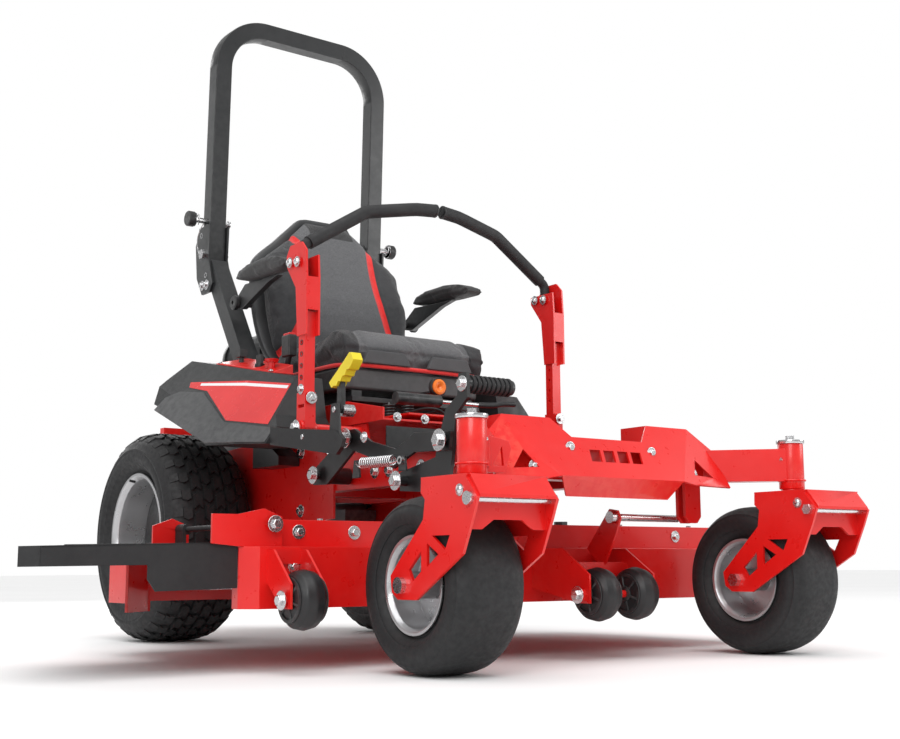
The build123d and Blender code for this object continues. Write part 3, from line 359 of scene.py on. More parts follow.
def mesh(name, verts, faces, mat, body, smooth=True, bevel=0.0):
    """A mesh piece from machine coordinates in mm."""
    data = bpy.data.meshes.new(name)
    data.from_pydata([at(*v) for v in verts], [], faces)
    data.update()
    b = bmesh.new()
    b.from_mesh(data)
    bmesh.ops.remove_doubles(b, verts=b.verts, dist=0.00001)
    bmesh.ops.recalc_face_normals(b, faces=b.faces)
    b.to_mesh(data)
    b.free()
    o = new_object(name, data)
    if bevel:
        bevel_edges(o, bevel, angle=28).harden_normals = True
    for p in data.polygons:
        p.use_smooth = smooth
    return finish_piece(o, mat, body)


def prism_faces(n):
    """Two ends, and the walls between them, for two rings of n points."""
    walls = [[i, (i + 1) % n, n + (i + 1) % n, n + i] for i in range(n)]
    return [list(range(n)), list(range(n, 2 * n))] + walls


def prism(name, outline, low, high, axis, mat, body, bevel=1.0):
    """An outline extruded along X, Y or Z."""
    def place(a, b, c):
        return {"x": (c, a, b), "y": (a, c, b), "z": (a, b, c)}[axis]
    verts = [place(a, b, c) for c in (low, high) for a, b in outline]
    return mesh(name, verts, prism_faces(len(outline)), mat, body, smooth=bool(bevel), bevel=bevel)


def brick(name, x0, x1, y0, y1, z0, z1, mat, body, bevel=1.5):
    """A block."""
    return prism(name, [(x0, y0), (x1, y0), (x1, y1), (x0, y1)], z0, z1, "z", mat, body, bevel)


def ring_points(profile, center, axis, n):
    """Points of a lathe: (along, radius) pairs turned round an axis."""
    verts = []
    for along, radius in profile:
        for k in range(n):
            a = 2 * math.pi * k / n
            u, v = radius * math.cos(a), radius * math.sin(a)
            x, y, z = center
            verts.append({"x": (x + along, y + u, z + v), "y": (x + u, y + along, z + v),
                "z": (x + u, y + v, z + along)}[axis])
    return verts


def lathe(name, profile, center, axis, mat, body, n=64, closed=True):
    """A turned piece; a closed profile makes a ring, an open one gets end caps."""
    rows = len(profile)
    verts = ring_points(profile, center, axis, n)
    faces = []
    spans = rows if closed else rows - 1
    for r in range(spans):
        s = (r + 1) % rows
        for k in range(n):
            m = (k + 1) % n
            faces.append([r * n + k, r * n + m, s * n + m, s * n + k])
    if not closed:
        faces.append(list(range(n)))
        faces.append([(rows - 1) * n + k for k in range(n)])
    o = mesh(name, verts, faces, mat, body)
    o.modifiers.new("crisp", "EDGE_SPLIT").split_angle = math.radians(38)
    return o


def tube(name, points, radius, mat, body, order=3, resolution=8):
    """A round bar, wire or hose along a smooth line."""
    curve = bpy.data.curves.new(name, "CURVE")
    curve.dimensions = "3D"
    spline = curve.splines.new("POLY" if order == 2 else "NURBS")
    spline.points.add(len(points) - 1)
    for p, place in zip(spline.points, points):
        p.co = (*at(*place), 1.0)
    if order > 2:
        spline.order_u = order
        spline.use_endpoint_u = True
    curve.bevel_depth = radius / 1000
    curve.bevel_resolution = 5
    curve.resolution_u = resolution
    curve.use_fill_caps = True
    return finish_piece(new_object(name, curve), mat, body)


def bolt(name, center, axis, across, height, body, outward=1):
    """Hexagon head with chamfer on a washer."""
    x, y, z = center
    r = across / 2 / math.cos(math.radians(30))
    base = 2.0
    b = bmesh.new()

    def ring(along, radius, count):
        out = []
        for k in range(count):
            a = 2 * math.pi * k / count
            u, v = radius * math.cos(a), radius * math.sin(a)
            w = outward * along
            place = {"x": (x + w, y + u, z + v), "y": (x + u, y + w, z + v), "z": (x + u, y + v, z + w)}[axis]
            out.append(b.verts.new(at(*place)))
        return out

    def skin(rings):
        for a, c in zip(rings, rings[1:]):
            count = len(a)
            for k in range(count):
                b.faces.new([a[k], a[(k + 1) % count], c[(k + 1) % count], c[k]])
        b.faces.new(rings[-1])
        b.faces.new(rings[0])

    skin([ring(0, across * 0.98, 28), ring(1.6, across * 0.98, 28), ring(base, across * 0.93, 28)])
    skin([ring(base, r, 6), ring(base + height * 0.82, r, 6), ring(base + height, r * 0.84, 6)])
    bmesh.ops.recalc_face_normals(b, faces=b.faces)
    data = bpy.data.meshes.new(name)
    b.to_mesh(data)
    b.free()
    o = new_object(name, data)
    bevel_edges(o, 0.5)
    return finish_piece(o, "bright_steel", body)


def coil(name, a, c, radius, wire, turns, mat, body, hooks=12.0):
    """Tension spring between two points, with straight ends."""
    start, end = Vector(a), Vector(c)
    line = end - start
    length = line.length
    along = line.normalized()
    side = along.orthogonal().normalized()
    up = along.cross(side)
    points = [start]
    steps = int(turns * 12)
    for k in range(steps + 1):
        t = 2 * math.pi * k / 12
        s = hooks + (length - 2 * hooks) * k / steps
        points.append(start + along * s + side * radius * math.cos(t) + up * radius * math.sin(t))
    points.append(end)
    return tube(name, [tuple(p) for p in points], wire, mat, body, order=3, resolution=2)


def sides(build):
    """Runs a builder for the right side and the left side."""
    for s, letter in SIDES:
        build(s, letter)

# ---------------------------------------------------------------- CAD pieces, polished
# Bevel widths of the CAD pieces, in mm.
EDGES = {
    0.8: "roller_brackets caster_rim_right caster_rim_left console_panel foot_platform",
    1.0: "front_cover seat_pan deck_shell caster_fork_right caster_fork_left lever_hub_right "
         "lever_hub_left lift_pedal lift_link bell_crank drive_rim_right drive_rim_left seat_frame "
         "roller_right roller_left roller_pair",
    1.2: "lever_post_right lever_post_left grass_deflector rops_pins blade_clutch_knob",
    1.5: "main_frame front_frame rops_posts throttle_lever ignition_key caster_caps",
    2.0: "transaxles",
    2.5: "rops_hoop",
    3.0: "engine_covers",
    4.0: "fender_right fender_left",
}
for width, names in EDGES.items():
    for node_name in names.split():
        polish(node_name, width)
recolor("blade_clutch_knob", "knob_red")
recolor("throttle_lever", "black_plastic")
recolor("ignition_key", "black_plastic")


# ---------------------------------------------------------------- soft parts
def bake(o):
    """Applies every modifier of o to its mesh."""
    depsgraph = bpy.context.evaluated_depsgraph_get()
    flat = bpy.data.meshes.new_from_object(o.evaluated_get(depsgraph))
    o.modifiers.clear()
    old = o.data
    o.data = flat
    bpy.data.meshes.remove(old)


def cushion(name, verts, faces, mat, body, voxel=5.0, shrink=5.0, cap=9.0, seams=()):
    """Padded piece: remeshed, shrunk, blown up as cloth, capped, then sewn along its seams.

    A seam is (depth, width, distance from it); all but the distance are in mm.
    """
    data = bpy.data.meshes.new(name)
    data.from_pydata([at(*v) for v in verts], [], faces)
    o = new_object(name, data)
    remesh = o.modifiers.new("voxels", "REMESH")
    remesh.mode = "VOXEL"
    remesh.voxel_size = voxel / 1000
    smooth = o.modifiers.new("smooth", "SMOOTH")
    smooth.factor = 0.6
    smooth.iterations = 10
    bake(o)
    inward = o.modifiers.new("shrink", "DISPLACE")
    inward.strength = -shrink / 1000
    inward.mid_level = 0.0
    bake(o)
    rest = [v.co.copy() for v in o.data.vertices]
    cloth = o.modifiers.new("cloth", "CLOTH")
    cloth.settings.quality = 4
    cloth.settings.mass = 0.3
    cloth.settings.use_pressure = True
    cloth.settings.uniform_pressure_force = 4.0
    cloth.settings.effector_weights.gravity = 0.0
    cloth.collision_settings.use_collision = False
    cloth.point_cache.frame_start = 1
    cloth.point_cache.frame_end = 20
    for step in range(1, 21):
        bpy.context.scene.frame_set(step)
        bpy.context.view_layer.update()
    bake(o)
    bpy.context.scene.frame_set(1)
    for v, was in zip(o.data.vertices, rest):
        moved = v.co - was
        if moved.length > cap / 1000:
            v.co = was + moved.normalized() * cap / 1000
    for v in o.data.vertices:
        push = Vector((0, 0, 0))
        for depth, width, away in seams:
            d = away(v.co)
            push -= v.normal * depth / 1000 * math.exp(-((d / (width / 1000)) ** 2))
        v.co = v.co + push
    for p in o.data.polygons:
        p.use_smooth = True
    sub = o.modifiers.new("sub", "SUBSURF")
    sub.levels = sub.render_levels = 1
    finish_piece(o, mat, body)
    return o


def loft(sections, n=48, power=4.0):
    """Verts and faces of stacked rounded sections: (z, half width, front y, back y)."""
    verts = []
    for z, half, front, back in sections:
        for k in range(n):
            a = 2 * math.pi * k / n
            c, s = math.cos(a), math.sin(a)
            x = half * math.copysign(abs(c) ** (2 / power), c)
            y = (front + back) / 2 + (back - front) / 2 * math.copysign(abs(s) ** (2 / power), s)
            verts.append((x, y, z))
    rows = len(sections)
    faces = [list(range(n)), [(rows - 1) * n + k for k in range(n)]]
    faces += [[r * n + k, r * n + (k + 1) % n, (r + 1) * n + (k + 1) % n, (r + 1) * n + k]
        for r in range(rows - 1) for k in range(n)]
    return verts, faces


def back_stripe(co):
    """Distance from the backrest's sewn stripe."""
    rise = co.z - STRIPE_Z
    bend, slope, offset = STRIPE_BEND
    return abs(abs(co.x - SHIFT[0]) - (bend * rise * rise + slope * rise + offset))


# Sections of the backrest, each (z, half width, front y, back y).
BACK = [(748, 196, -252, -222), (770, 212, -270, -214), (800, 224, -283, -203), (850, 234, -296, -188),
    (905, 240, -298, -175), (950, 240, -292, -164), (1000, 238, -277, -152), (1040, 235, -263, -142),
    (1062, 231, -255, -139), (1086, 212, -245, -135), (1110, 184, -235, -132), (1134, 154, -224, -129),
    (1156, 132, -214, -128), (1180, 106, -202, -130), (1203, 84, -188, -134), (1212, 76, -178, -142)]
cushion_part = [(z, w, f, b - 30) for z, w, f, b in BACK]
shell_part = [(z, w + 1 if z < 1150 else w + 2, b - 36, b) for z, w, f, b in BACK]
verts, faces = loft(cushion_part)
cushion("backrest_pad", verts, faces, "seat_back_cloth", "backrest", cap=10.0,
    seams=[(6.0, 9.0, back_stripe)])
verts, faces = loft(shell_part, power=6.0)
shell = mesh("backrest_shell", verts, faces, "shell_plastic", "backrest")
shell.modifiers.new("sub", "SUBSURF").render_levels = 1
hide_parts("seat_back")

# Side outline of the seat cushion, (y, z).
SEAT_SIDE = [(-650, 700), (-662, 745), (-650, 786), (-600, 800), (-500, 784), (-420, 775), (-330, 780),
    (-302, 768), (-292, 720), (-292, 700)]


def box_loft(outline, x0, x1):
    """Verts and faces of a side outline stretched from x0 to x1."""
    return [(x, y, z) for x in (x0, x1) for y, z in outline], prism_faces(len(outline))


def seat_stripe(co):
    """Distance from the seam either side of the seat."""
    return abs(abs(co.x - SHIFT[0]) - SEAT_STRIPE)


verts, faces = box_loft(SEAT_SIDE, -228, 228)
cushion("seat_pad", verts, faces, "seat_base_cloth", "seat", cap=10.0, seams=[(7.0, 9.0, seat_stripe),
    (3.0, 8.0, lambda co: abs(co.y - SHIFT[1] + 0.500)),
    (5.0, 8.0, lambda co: abs(co.z - 0.742) + (0.0 if co.y - SHIFT[1] < -0.60 else 1.0))])
prism("seat_shell", [(-214, -632), (-196, -646), (196, -646), (214, -632), (218, -300), (-218, -300)], 641,
    699, "z", "shell_plastic", "seat", bevel=9)
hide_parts("seat_cushion")
tube("seat_piping", [(-228, -300, 702), (-231, -560, 702), (-222, -640, 702), (-170, -657, 703),
    (0, -659, 703), (170, -657, 703), (222, -640, 702), (231, -560, 702), (228, -300, 702)], 5.5, "red_cloth",
    "seat", resolution=16)
for s, letter in SIDES:
    prism("seat_insert_" + letter, [(s * 26, 708), (s * 172, 708), (s * 156, 742), (s * 44, 742)], -668, -656,
        "y", "seat_dark", "seat", bevel=3)
    pad = [(-240, 990), (-262, 1004), (-310, 1014), (-400, 1016), (-480, 1004), (-520, 988), (-528, 974),
        (-510, 965), (-440, 968), (-244, 977)]
    verts, faces = box_loft(pad, s * 266 if s > 0 else s * 326, s * 326 if s > 0 else s * 266)
    cushion("armrest_pad_" + letter, verts, faces, "armrest_skin", "armrest_" + letter, voxel=4.0, shrink=3.0,
        cap=5.0,
        seams=[(2.0, 5.0, lambda co: abs(co.z - (0.990 if co.y - SHIFT[1] > -0.5 else 0.978)))])
    arm = prism("armrest_arm_" + letter, [(-190, 912), (-230, 905), (-380, 953), (-436, 963), (-246, 972),
        (-196, 940)], s * 276, s * 294, "x", "black_steel", "armrest_" + letter, bevel=2)
    lathe("armrest_hub_" + letter, [(0, 6), (0, 17), (3, 20), (14, 20), (17, 17), (17, 6)],
        (s * 293 if s > 0 else s * 310, ARM_Y, ARM_Z), "x", "black_plastic", "armrest_" + letter)
    lathe("armrest_pin_" + letter, [(0, 0.5), (0, 8.5), (28, 8.5), (28, 0.5)], (252 if s > 0 else -280, ARM_Y,
        ARM_Z), "x", "black_steel", "armrest_" + letter, closed=False)
    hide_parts("armrest_right" if s < 0 else "armrest_left")


# ---------------------------------------------------------------- tyres
def drive_tyre(s, letter):
    """Turf tyre: carcass with sidewall rings, and staggered wavy tread blocks."""
    center = (s * DRIVE_X, 0, DRIVE_R)
    half = [(0, 277), (62, 276.5), (92, 272), (108, 262), (117, 250), (122, 240), (124, 238), (124, 234),
        (122.5, 231), (124.6, 226), (124, 212), (119, 203), (119, 200), (116, 197), (112, 193), (104, 184),
        (97, 178), (96, 161)]
    inner = [(80, 161), (97, 195), (105, 225), (92, 252), (60, 262)]
    profile = [(-a, r) for a, r in reversed(half[1:])] + half + inner + [(-a, r) for a, r in reversed(inner)]
    body = "drive_wheel_" + letter
    node = "drive_tyre_right" if s < 0 else "drive_tyre_left"
    carcass = lathe("tyre_carcass_" + letter, profile, center, "x", "tyre_rubber", body, n=120)
    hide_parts(node)
    verts, faces = [], []

    def lump(x0, x1, a0, a1, low, top0, top1, skew):
        base = len(verts)
        steps = 3
        for i in range(steps + 1):
            for j in range(3):
                x = x0 + (x1 - x0) * j / 2
                wave = skew * math.sin(math.pi * j / 2)
                a = a0 + (a1 - a0) * i / steps + wave
                top = top0 + (top1 - top0) * j / 2
                for r in (low, top):
                    inset = 0.0 if r == low else 1.0
                    aa = a + (0.006 if i == 0 else -0.006 if i == steps else 0) * inset
                    xx = x + (1.5 if j == 0 else -1.5 if j == 2 else 0) * inset * (1 if x1 > x0 else -1)
                    verts.append((center[0] + xx, r * math.cos(aa), center[2] + r * math.sin(aa)))

        def v(i, j, k):
            return base + (i * 3 + j) * 2 + k
        for i in range(steps):
            for j in range(2):
                faces.append([v(i, j, 1), v(i + 1, j, 1), v(i + 1, j + 1, 1), v(i, j + 1, 1)])
            faces.append([v(i, 0, 0), v(i + 1, 0, 0), v(i + 1, 0, 1), v(i, 0, 1)])
            faces.append([v(i, 2, 0), v(i, 2, 1), v(i + 1, 2, 1), v(i + 1, 2, 0)])
        for j in range(2):
            faces.append([v(0, j, 0), v(0, j, 1), v(0, j + 1, 1), v(0, j + 1, 0)])
            faces.append([v(steps, j, 0), v(steps, j + 1, 0), v(steps, j + 1, 1), v(steps, j, 1)])

    count = 34
    pitch = 2 * math.pi / count
    for k in range(count):
        a = k * pitch
        for row, x in enumerate((-47, -16, 16, 47)):
            shift = pitch * (0.5 if row % 2 else 0.0)
            lump(x - 13, x + 13, a + shift, a + shift + pitch * 0.74, 272, 284.6, 284.6,
                0.035 * (1 if row % 2 else -1))
        for side in (-1, 1):
            shift = pitch * (0.25 if side > 0 else 0.6)
            lump(side * 65, side * 90, a + shift, a + shift + pitch * 0.62, 266, 283.5, 277.5, 0.02)
            lump(side * 89, side * 111, a + shift + 0.012, a + shift + pitch * 0.62 - 0.012, 250, 277.5,
                263.0, 0.0)
    mesh("tyre_tread_" + letter, verts, faces, "tyre_rubber", body, smooth=False)
    lathe("rim_dish_" + letter, [(0, 26), (0, 146), (2, 149), (4, 149), (4, 26)],
        (s * DRIVE_X - (16.5 if s < 0 else -12.5), 0, DRIVE_R), "x", "black_steel", body)
    tube("valve_stem_" + letter, [(s * 492, 0, DRIVE_R + 148), (s * 503, 0, DRIVE_R + 150),
        (s * 508, 0, DRIVE_R + 151)], 3.6, "black_plastic", body)


def caster_tyre(s, letter):
    """Smooth tyre with sidewall rings and a parting line."""
    center = (s * CASTER_X, CASTER_AXLE_Y, CASTER_R)
    half = [(0, 165), (30, 164.6), (46, 163), (58, 160), (70, 153), (74.5, 148), (75.5, 147.5), (75.5, 145),
        (77, 141), (79.4, 136), (79.8, 128), (78.6, 116), (76, 112), (74.5, 112), (73, 108), (66, 100),
        (60, 95), (60, 84)]
    inner = [(46, 84), (60, 108), (65, 132), (50, 150)]
    profile = [(-a, r) for a, r in reversed(half[1:])] + half + inner + [(-a, r) for a, r in reversed(inner)]
    body = "caster_wheel_" + letter
    tyre = lathe("caster_carcass_" + letter, profile, center, "x", "tyre_rubber", body, n=96)
    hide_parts("caster_tyre_right" if s < 0 else "caster_tyre_left")
    for side in (-1, 1):
        lathe("caster_seal_%s%d" % (letter, side), [(0, 12), (0, 20), (side * 3, 22), (side * 5, 20),
            (side * 5, 12)], (center[0] + side * 84.5, center[1], center[2]), "x", "black_plastic", body)
    tube("grease_fitting_" + letter, [(s * CASTER_X, CASTER_AXLE_Y + 22, CASTER_R + 10),
        (s * CASTER_X, CASTER_AXLE_Y + 32, CASTER_R + 15)], 3.0, "bright_steel", body)


sides(drive_tyre)
sides(caster_tyre)


# ---------------------------------------------------------------- side pods
# The plane of the right pod's outer side: one corner of it, and the direction square to it.
POD_CORNER = (-420, -191, 752)
POD_FACE = (36309, 10920, -25710)


def pod_x(y, z, lift):
    """The pod's sloping outer side, on the right, moved outward by lift."""
    x0, y0, z0 = POD_CORNER
    x = x0 - (POD_FACE[1] * (y - y0) + POD_FACE[2] * (z - z0)) / POD_FACE[0]
    return (x - 0.793 * lift, y - 0.238 * lift, z + 0.561 * lift)


def pod_patch(name, outline, mat, lift, s):
    """A thin plate on the pod's outer side."""
    top = [pod_x(y, z, lift) for y, z in outline]
    low = [pod_x(y, z, -1.5) for y, z in outline]
    verts = [(-s * x, y, z) for x, y, z in low + top]
    mesh(name, verts, prism_faces(len(outline)), mat, "chassis", bevel=0.5)


def pod(s, letter):
    band = [(-196, 645), (-239, 658), (-337, 646), (-496, 553), (-686, 524), (-686, 489), (-477, 501),
        (-186, 611)]
    pod_patch("pod_band_" + letter, band, "shell_plastic", 2.2, s)
    pod_patch("pod_decal_" + letter, [(-252, 684), (-474, 666), (-640, 642), (-655, 536), (-496, 558),
        (-345, 650), (-262, 668)], "decal_red", 0.7, s)
    pod_patch("pod_decal_line_" + letter, [(-300, 676), (-474, 660), (-636, 637), (-637, 629), (-474, 652),
        (-302, 669)], "decal_white", 1.0, s)
    if s < 0:
        return
    lathe("fuel_cap_" + letter, [(0, 1), (0, 42), (4, 45), (20, 45), (26, 40), (26, 1)], (s * 360, -240, 743),
        "z", "black_plastic", "chassis", n=36)
    for k in range(12):
        a = 2 * math.pi * k / 12
        x, y = s * 360 + 45 * math.cos(a), -240 + 45 * math.sin(a)
        brick("cap_grip_%s%d" % (letter, k), x - 3, x + 3, y - 3, y + 3, 747, 761, "black_plastic", "chassis",
            bevel=1)


sides(pod)
WEDGE = [(-394, -292, 736), (-358, -543, 685), (-304, -543, 706), (-304, -292, 757), (-394, -292, 730),
    (-358, -543, 679), (-304, -543, 679), (-304, -292, 730)]
mesh("control_wedge", WEDGE, [[0, 1, 2, 3], [4, 5, 6, 7], [0, 1, 5, 4], [1, 2, 6, 5], [2, 3, 7, 6],
    [3, 0, 4, 7]], "red_paint", "chassis", bevel=1.5)
for k, (y, width) in enumerate(((-320, 20), (-400, 30), (-480, 24))):
    z = 757 + (y + 292) * 0.2032 - 4
    prism("control_label_%d" % k, [(-312 - width, y), (-312, y), (-312, y + 22), (-312 - width, y + 18)],
        z - 9, z - 3.5, "z", "black_plastic", "chassis", bevel=0.5)

# ---------------------------------------------------------------- fasteners
# (name, places, axis, across flats, height, body, way the head points).
BOLTS = [
    ("cover_bolt", [(-230, -1393, 396), (230, -1393, 396), (-118, -1378, 440), (118, -1378, 440)], "y", 13, 6,
        "chassis", -1),
    ("deck_bolt", [(x, -1104, 268) for x in (-600, -470, -230, 230, 470, 600)], "y", 15, 7, "deck", -1),
    ("skirt_bolt", [(x, -1150, 200) for x in (-676, -636, 40, 88, 636, 676)], "y", 13, 6, "deck", -1),
    ("guard_bolt", [(x, 470, z) for x in (-205, 205) for z in (440, 620)], "y", 15, 7, "chassis", 1),
    ("pan_bolt", [(x, -860, 548) for x in (-200, -120, 120, 200)], "y", 12, 5, "chassis", -1),
    ("spindle_bolt", [(cx + 60 * math.cos(t), cy + 60 * math.sin(t), 246) for cx, cy in SPINDLES
        for t in (0.78, 2.36, 3.93, 5.5)], "z", 15, 8, "deck", 1),
    ("panel_screw", [(-388, -302, 733), (-312, -302, 733), (-312, -533, 686), (-362, -533, 686)], "z", 7, 3,
        "chassis", 1),
    ("engine_bolt", [(x, y, 728) for x, y in ((-130, 80), (130, 80), (-130, 260), (130, 260))], "z", 11, 6,
        "chassis", 1),
]
for name, places, axis, across, height, body, outward in BOLTS:
    for k, place in enumerate(places):
        bolt("%s_%d" % (name, k), place, axis, across, height, body, outward)
# The same on both sides: (name, places on the left, across flats, height).
SIDE_BOLTS = [
    ("rail_bolt_", [(235, y, 420) for y in (-1270, -1120, -1010, -880, -820)], 17, 8),
    ("plate_bolt_", [(241, -560, 420), (241, -480, 490), (241, -480, 340), (241, 40, 340), (241, 40, 480),
        (241, 90, 420)], 17, 8),
    ("cheek_bolt_", [(303.3, -22, 1010), (303.3, 6, 1012)], 15, 7),
    ("pod_bolt_", [(416, -800, 494), (405, -1040, 474)], 12, 6),
]
for name, places, across, height in SIDE_BOLTS:
    for s, letter in SIDES:
        for k, (x, y, z) in enumerate(places):
            bolt("%s%s_%d" % (name, letter, k), (s * x, y, z), "x", across, height, "chassis", s)


def dome(name, center, axis, radius, height, body, outward=1):
    """Round-headed bolt on its washer."""
    steps = [(0, radius * 1.35), (1.8, radius * 1.35), (2.0, radius * 1.28), (2.0, radius)]
    steps += [(2 + height * math.sin(a), max(radius * math.cos(a), 0.3)) for a in (0.15, 0.5, 0.85, 1.2, 1.5)]
    return lathe(name, [(outward * h, r) for h, r in steps], center, axis, "bright_steel", body, n=28,
        closed=False)


def lever_details(s, letter):
    base, top = "lever_base_" + letter, "lever_" + letter
    x = s * LEVER_X
    for k, (y, z) in enumerate(((-744, 920), (-708, 924))):
        dome("lever_dome_out_%s%d" % (letter, k), (x - 24 if s < 0 else x + 24, y, z), "x", 9.5, 7, top, s)
        dome("lever_dome_in_%s%d" % (letter, k), (x + 24 if s < 0 else x - 24, y, z), "x", 9.5, 7, top, -s)
    for k in range(4):
        lathe("lever_hole_%s%d" % (letter, k), [(0, 4.3), (0, 6.5), (0.6, 6.5), (0.6, 4.3)],
            (x + (-14.7 if s < 0 else 14.1), LEVER_Y, 640 + 28 * k), "x", "black_steel", top, n=24)
    bolt("lever_pivot_nut_" + letter, (x + s * 27, LEVER_Y, 520), "x", 19, 9, "chassis", s)
    bolt("lever_post_bolt_" + letter, (x + s * 14, LEVER_Y, 612), "x", 13, 6, top, s)
    bolt("lever_swing_bolt_" + letter, (x, -777, 590), "y", 15, 7, base, -1)
    sleeve = [(-367, -723, 977), (-222, -730, 1069), (-214, -730.5, 1074), (-205, -731.5, 1078),
        (-196, -732.5, 1080.5), (-186, -734, 1082.5), (-85, -749, 1100.5), (-65, -751.5, 1103.6),
        (-46, -752.6, 1105.2), (-14, -754.7, 1107.5)]
    tube("lever_foam_" + letter, [(-s * px, y, z) for px, y, z in sleeve], 17.0, "grip_rubber", top, order=2)
    lathe("lever_end_cap_" + letter, [(0, 1), (0, 14), (2, 17.5), (6, 17.5), (8, 14), (8, 1)],
        (-16 if s < 0 else 8, -755, 1107.5), "x", "black_plastic", top, n=32)
    coil("return_spring_" + letter, (s * 300, -800, 470), (s * 300, -905, 470), 9, 1.6, 12, "bright_steel",
        "chassis")
    tube("damper_body_" + letter, [(s * 262, -700, 500), (s * 262, -610, 500)], 13, "black_steel", "chassis",
        order=2)
    tube("damper_rod_" + letter, [(s * 262, -760, 500), (s * 262, -690, 500)], 5, "bright_steel", "chassis",
        order=2)


def caster_details(s, letter):
    x, y = s * CASTER_X, CASTER_PIVOT_Y
    fork = "caster_" + letter
    for side in (-1, 1):
        dome("fork_dome_%s%d" % (letter, side), (x + side * 92, y - 86, 330), "x", 8, 5, fork, side)
    tube("tube_weld_" + letter, [(x + 29.5 * math.cos(t), y + 29.5 * math.sin(t), 385)
        for t in [2 * math.pi * k / 24 for k in range(25)]], 2.4, "red_paint", "chassis")
    tube("caster_grease_" + letter, [(x - s * 28, y, 430), (x - s * 36, y, 433)], 3.4, "bright_steel",
        "chassis")


def roll_bar_details(s, letter):
    x = s * ROLL_BAR_X
    tube("lanyard_" + letter, [(x + s * 10, -2, 1200), (x + s * 16, 20, 1176), (x + s * 14, 36, 1146),
        (x + s * 9, 34, 1120), (x + s * 7.5, 24, 1100)], 1.3, "bright_steel", "hoop")
    tube("hair_clip_" + letter, [(x + s * 30, 4, 1205), (x + s * 34, -12, 1222), (x + s * 34, -22, 1214),
        (x + s * 34, -20, 1196), (x + s * 30, -6, 1190)], 1.6, "bright_steel", "hoop")
    for k, z in enumerate((1040, 1165)):
        lathe("cheek_hole_%s%d" % (letter, k), [(0, 5.5), (0, 8), (0.6, 8), (0.6, 5.5)],
            (x + (6.4 if s > 0 else -7.0), 20 if k else -14, z), "x", "bright_steel", "chassis", n=24)
    lathe("pin_knob_" + letter, [(0, 1), (0, 20), (3, 22.5), (20, 22.5), (24, 19), (24, 1)],
        (s * 337 if s > 0 else -361, -2, 1205), "x", "black_plastic", "hoop", n=40)


sides(lever_details)
sides(caster_details)
sides(roll_bar_details)

# ---------------------------------------------------------------- operator's place
bar = prism("brake_bar", [(-915, 548), (-895, 548), (-896, 634), (-914, 634)], -388, -376, "x", "black_steel",
    "brake", bevel=1.5)
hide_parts("brake_lever")
lathe("brake_boss", [(0, 7.2), (0, 14), (30, 14), (30, 7.2)], (BRAKE_X, BRAKE_Y, BRAKE_Z), "x",
    "bright_steel", "brake", n=36)
bolt("brake_bolt", (BRAKE_X - 13, BRAKE_Y, BRAKE_Z), "x", 13, 6, "brake", -1)
grip_outline = [(-872, 612), (-882, 600), (-892, 604), (-902, 602), (-911, 612), (-921, 611), (-929, 622),
    (-939, 622), (-947, 634), (-958, 634), (-972, 648), (-976, 654), (-966, 671), (-958, 672), (-930, 652),
    (-900, 632), (-872, 614)]
prism("brake_grip", grip_outline, -395, -369, "x", "yellow_plastic", "brake", bevel=5)
brick("buckle", -300, -276, -512, -470, 735, 792, "black_plastic", "seat", bevel=4)
brick("buckle_button", -297, -279, -508, -474, 790, 797, "knob_red", "seat", bevel=2)
tube("buckle_stalk", [(-288, -490, 740), (-286, -470, 690), (-262, -440, 650), (-212, -420, 632)], 8,
    "black_plastic", "seat")
lathe("amber_lamp", [(0, 1), (-7, 8), (-9, 14), (-7, 19), (0, 20)], (-36, -800, 640), "y", "amber", "seat",
    n=40, closed=False)
lathe("lamp_bezel", [(0, 19), (-3, 19), (-4, 22), (-3, 24), (8, 24), (8, 19)], (-36, -800, 640), "y",
    "black_plastic", "seat", n=40)
brick("lamp_bracket", -58, -14, -792, -640, 624, 630, "black_steel", "seat", bevel=1)
brick("control_shelf", -150, 120, -836, -700, 560, 566, "red_paint", "chassis", bevel=2)
for k, x in enumerate((-110, -60, 80, 150)):
    coil("suspension_spring_%d" % k, (x, -690 - 10 * (k % 2), 548), (x, -690 - 10 * (k % 2), 606), 15, 2.6, 7,
        "black_steel", "chassis", hooks=3)
tube("suspension_cylinder", [(-190, -838, 598), (-60, -838, 598)], 15, "black_steel", "chassis", order=2)
tube("suspension_rod", [(-60, -838, 598), (60, -838, 598)], 5, "bright_steel", "chassis", order=2)
tube("height_crank", [(60, -838, 598), (110, -842, 598), (130, -846, 606), (170, -848, 606)], 7,
    "black_plastic", "chassis")
for k, (x0, y0, z0) in enumerate(((-90, -700, 566), (-40, -720, 566), (30, -700, 566))):
    tube("control_cable_%d" % k, [(x0, y0, z0 + 6), (x0 + 20, y0 - 90, z0 + 26), (x0 + 70, y0 - 120, z0 + 8),
        (x0 + 90, y0 - 60, z0 - 30), (x0 + 90, y0 + 80, z0 - 90)], 3.5, "black_plastic", "chassis",
        resolution=12)
for k in range(17):
    brick("mat_rib_%d" % k, -250, 250, -1288 + 22 * k, -1278 + 22 * k, 460, 463, "grip_rubber", "chassis",
        bevel=1)

